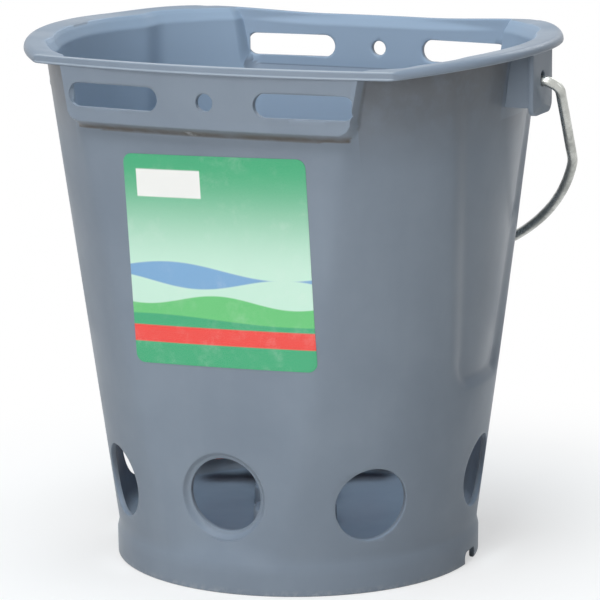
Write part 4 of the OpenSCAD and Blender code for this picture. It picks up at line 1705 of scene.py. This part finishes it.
@dataclass
class Studio:
    """Camera, lamps, world and floor."""

    azimuth: float = 23.9545
    elevation: float = 11.7010
    distance: float = 1816.33
    aside: float = 1.9806
    height: float = 140.21
    roll: float = -0.4487
    focal_px: float = 3293.67
    picture_px: float = 600.0
    sensor: float = 36.0
    room: Colour = (0.86, 0.94, 1.0, 1)
    room_strength: float = 0.05
    ground: Colour = (0.94, 0.86, 0.78, 1)
    ground_seen: Colour = (0.92, 0.92, 0.92, 1)
    ground_reach: float = 6.0

    def camera(self) -> None:
        """Puts the camera where the photograph was taken from."""
        a, e, roll = (math.radians(v) for v in (self.azimuth, self.elevation, self.roll))
        back = Vector((math.sin(a) * math.cos(e), -math.cos(a) * math.cos(e), math.sin(e)))
        right = Vector((math.cos(a), math.sin(a), 0))
        up = back.cross(right)
        across = math.cos(roll) * right + math.sin(roll) * up
        upward = -math.sin(roll) * right + math.cos(roll) * up
        target = Vector((self.aside * math.cos(a), self.aside * math.sin(a), self.height))
        data = bpy.data.cameras.new("photo_camera")
        data.sensor_width = self.sensor
        data.lens = self.focal_px * self.sensor / self.picture_px
        data.clip_start, data.clip_end = 0.05, 50
        obj = put_in_scene("photo_camera", data)
        turn = Matrix((across, upward, back)).transposed().to_4x4()
        obj.matrix_world = Matrix.Translation((target + back * self.distance) * MM) @ turn
        bpy.context.scene.camera = obj

    def lamp(self, name: str, place: Vector, size: tuple[float, float], power: float,
             aim: Vector = Vector((0, 0, 0.15)), colour: tuple[float, float, float] = (1, 1, 1)) -> None:
        """Hangs a rectangular softbox that looks at a point.

        Args:
            name: Name of the lamp.
            place: Where it hangs, in metres.
            size: Width and height, in metres.
            power: Watts.
            aim: What it looks at.
            colour: Colour of its light.
        """
        data = bpy.data.lights.new(name, "AREA")
        data.shape, data.size, data.size_y = "RECTANGLE", size[0], size[1]
        data.energy, data.color = power, colour
        obj = put_in_scene(name, data)
        obj.location = place
        obj.rotation_euler = (place - aim).to_track_quat("Z", "Y").to_euler()

    def looking(self, tree: bpy.types.NodeTree) -> Socket:
        """Tells the rays that show a background from the rays that only light.

        Args:
            tree: Node tree of the world or of a material.

        Returns:
            Socket that is 1 for camera rays, reflections and what is seen through glass.
        """
        rays = tree.nodes.new("ShaderNodeLightPath")
        socket = rays.outputs["Is Camera Ray"]
        for kind in ("Is Glossy Ray", "Is Transmission Ray"):
            either = tree.nodes.new("ShaderNodeMath")
            either.operation = "MAXIMUM"
            tree.links.new(socket, either.inputs[0])
            tree.links.new(rays.outputs[kind], either.inputs[1])
            socket = either.outputs[0]
        return socket

    def world(self) -> None:
        """Even pale light, and a white background for the camera and for reflections."""
        world = bpy.data.worlds.new("studio")
        bpy.context.scene.world = world
        world.use_nodes = True
        tree = world.node_tree
        tree.nodes.clear()
        out = tree.nodes.new("ShaderNodeOutputWorld")
        mix = tree.nodes.new("ShaderNodeMixShader")
        room, white = tree.nodes.new("ShaderNodeBackground"), tree.nodes.new("ShaderNodeBackground")
        room.inputs["Color"].default_value = self.room
        room.inputs["Strength"].default_value = self.room_strength
        white.inputs["Color"].default_value = (1, 1, 1, 1)
        white.inputs["Strength"].default_value = 1.0
        tree.links.new(self.looking(tree), mix.inputs[0])
        tree.links.new(room.outputs[0], mix.inputs[1])
        tree.links.new(white.outputs[0], mix.inputs[2])
        tree.links.new(mix.outputs[0], out.inputs[0])

    def floor(self) -> None:
        """A plain pale floor that takes the object's shadow."""
        mesh = bpy.data.meshes.new("studio_floor")
        reach = self.ground_reach
        corners = [(-reach, -reach, 0), (reach, -reach, 0), (reach, reach, 0), (-reach, reach, 0)]
        mesh.from_pydata(corners, [], [(0, 1, 2, 3)])
        obj = put_in_scene("studio_floor", mesh)
        s = Shader("studio_floor")
        s.set(Base_Color=self.ground, Roughness=0.9, Specular_IOR_Level=0.1)
        pale = s.add("BsdfDiffuse", {"Color": self.ground_seen})
        white = s.add("Emission", {"Color": (1, 1, 1, 1), "Strength": 1.0})
        away = s.add("VectorMath", {0: s.place()}, operation="LENGTH").outputs["Value"]
        share = s.ramp(away, 0.10, 0.40, 0.55, 1.0)
        seen = s.add("MixShader", {0: share, 1: pale.outputs[0], 2: white.outputs[0]})
        both = s.add("MixShader", {0: self.looking(s.tree), 1: s.surface.outputs[0], 2: seen.outputs[0]})
        s.put(s.tree.nodes["Material Output"].inputs["Surface"], both.outputs[0])
        mesh.materials.append(s.material)

    def build(self) -> None:
        """Sets the whole studio."""
        bpy.context.scene.view_settings.view_transform = "Standard"
        self.camera()
        self.world()
        self.floor()
        self.lamp("key_softbox", Vector((-0.05, -2.4, 0.8)), (1.0, 0.8), 20.0)
        self.lamp("front_softbox", Vector((0.0, -1.5, 2.3)), (1.2, 1.0), 34.0)
        self.lamp("top_softbox", Vector((0.0, -0.2, 2.6)), (1.2, 1.2), 34.0, colour=(0.80, 0.92, 1.0))
        self.lamp("strip_softbox", Vector((2.2, 0.2, 0.9)), (0.3, 1.4), 2.0)
        self.lamp("back_softbox", Vector((0.5, 2.3, 1.6)), (1.4, 1.0), 15.0)


def main() -> None:
    """Builds every piece in order."""
    logging.basicConfig(level=logging.INFO, format="%(name)s %(message)s")
    Studio().build()
    pale, nut_pale = (0.50, 0.54, 0.58, 1), (0.45, 0.49, 0.53, 1)
    looks = (
        MouldedPlastic("bucket_plastic", (0.215, 0.262, 0.325, 1), (0.180, 0.222, 0.280, 1), pale),
        ZincWire("galvanised_wire"),
        PrintedFilm("label_film"),
        SoftRubber("red_rubber", (0.52, 0.045, 0.03, 1), (0.62, 0.16, 0.12, 1)),
        SoftRubber("black_rubber", (0.022, 0.022, 0.023, 1), (0.06, 0.06, 0.06, 1), 0.55),
        MouldedPlastic("valve_plastic", (0.205, 0.250, 0.310, 1), (0.172, 0.212, 0.268, 1), pale, 0.34),
        MouldedPlastic("nut_plastic", (0.190, 0.232, 0.288, 1), (0.160, 0.197, 0.250, 1), nut_pale, 0.42),
    )
    finishes = {look.name: look.build() for look in looks}
    form = BucketForm()
    Bucket(form).build(finishes["bucket_plastic"])
    Label().build(form, finishes["label_film"])
    Bail().build(finishes["galvanised_wire"])
    for index, key in enumerate("abcde"):
        TeatSet(key, index).build(finishes)


if __name__ == "__main__":
    main()
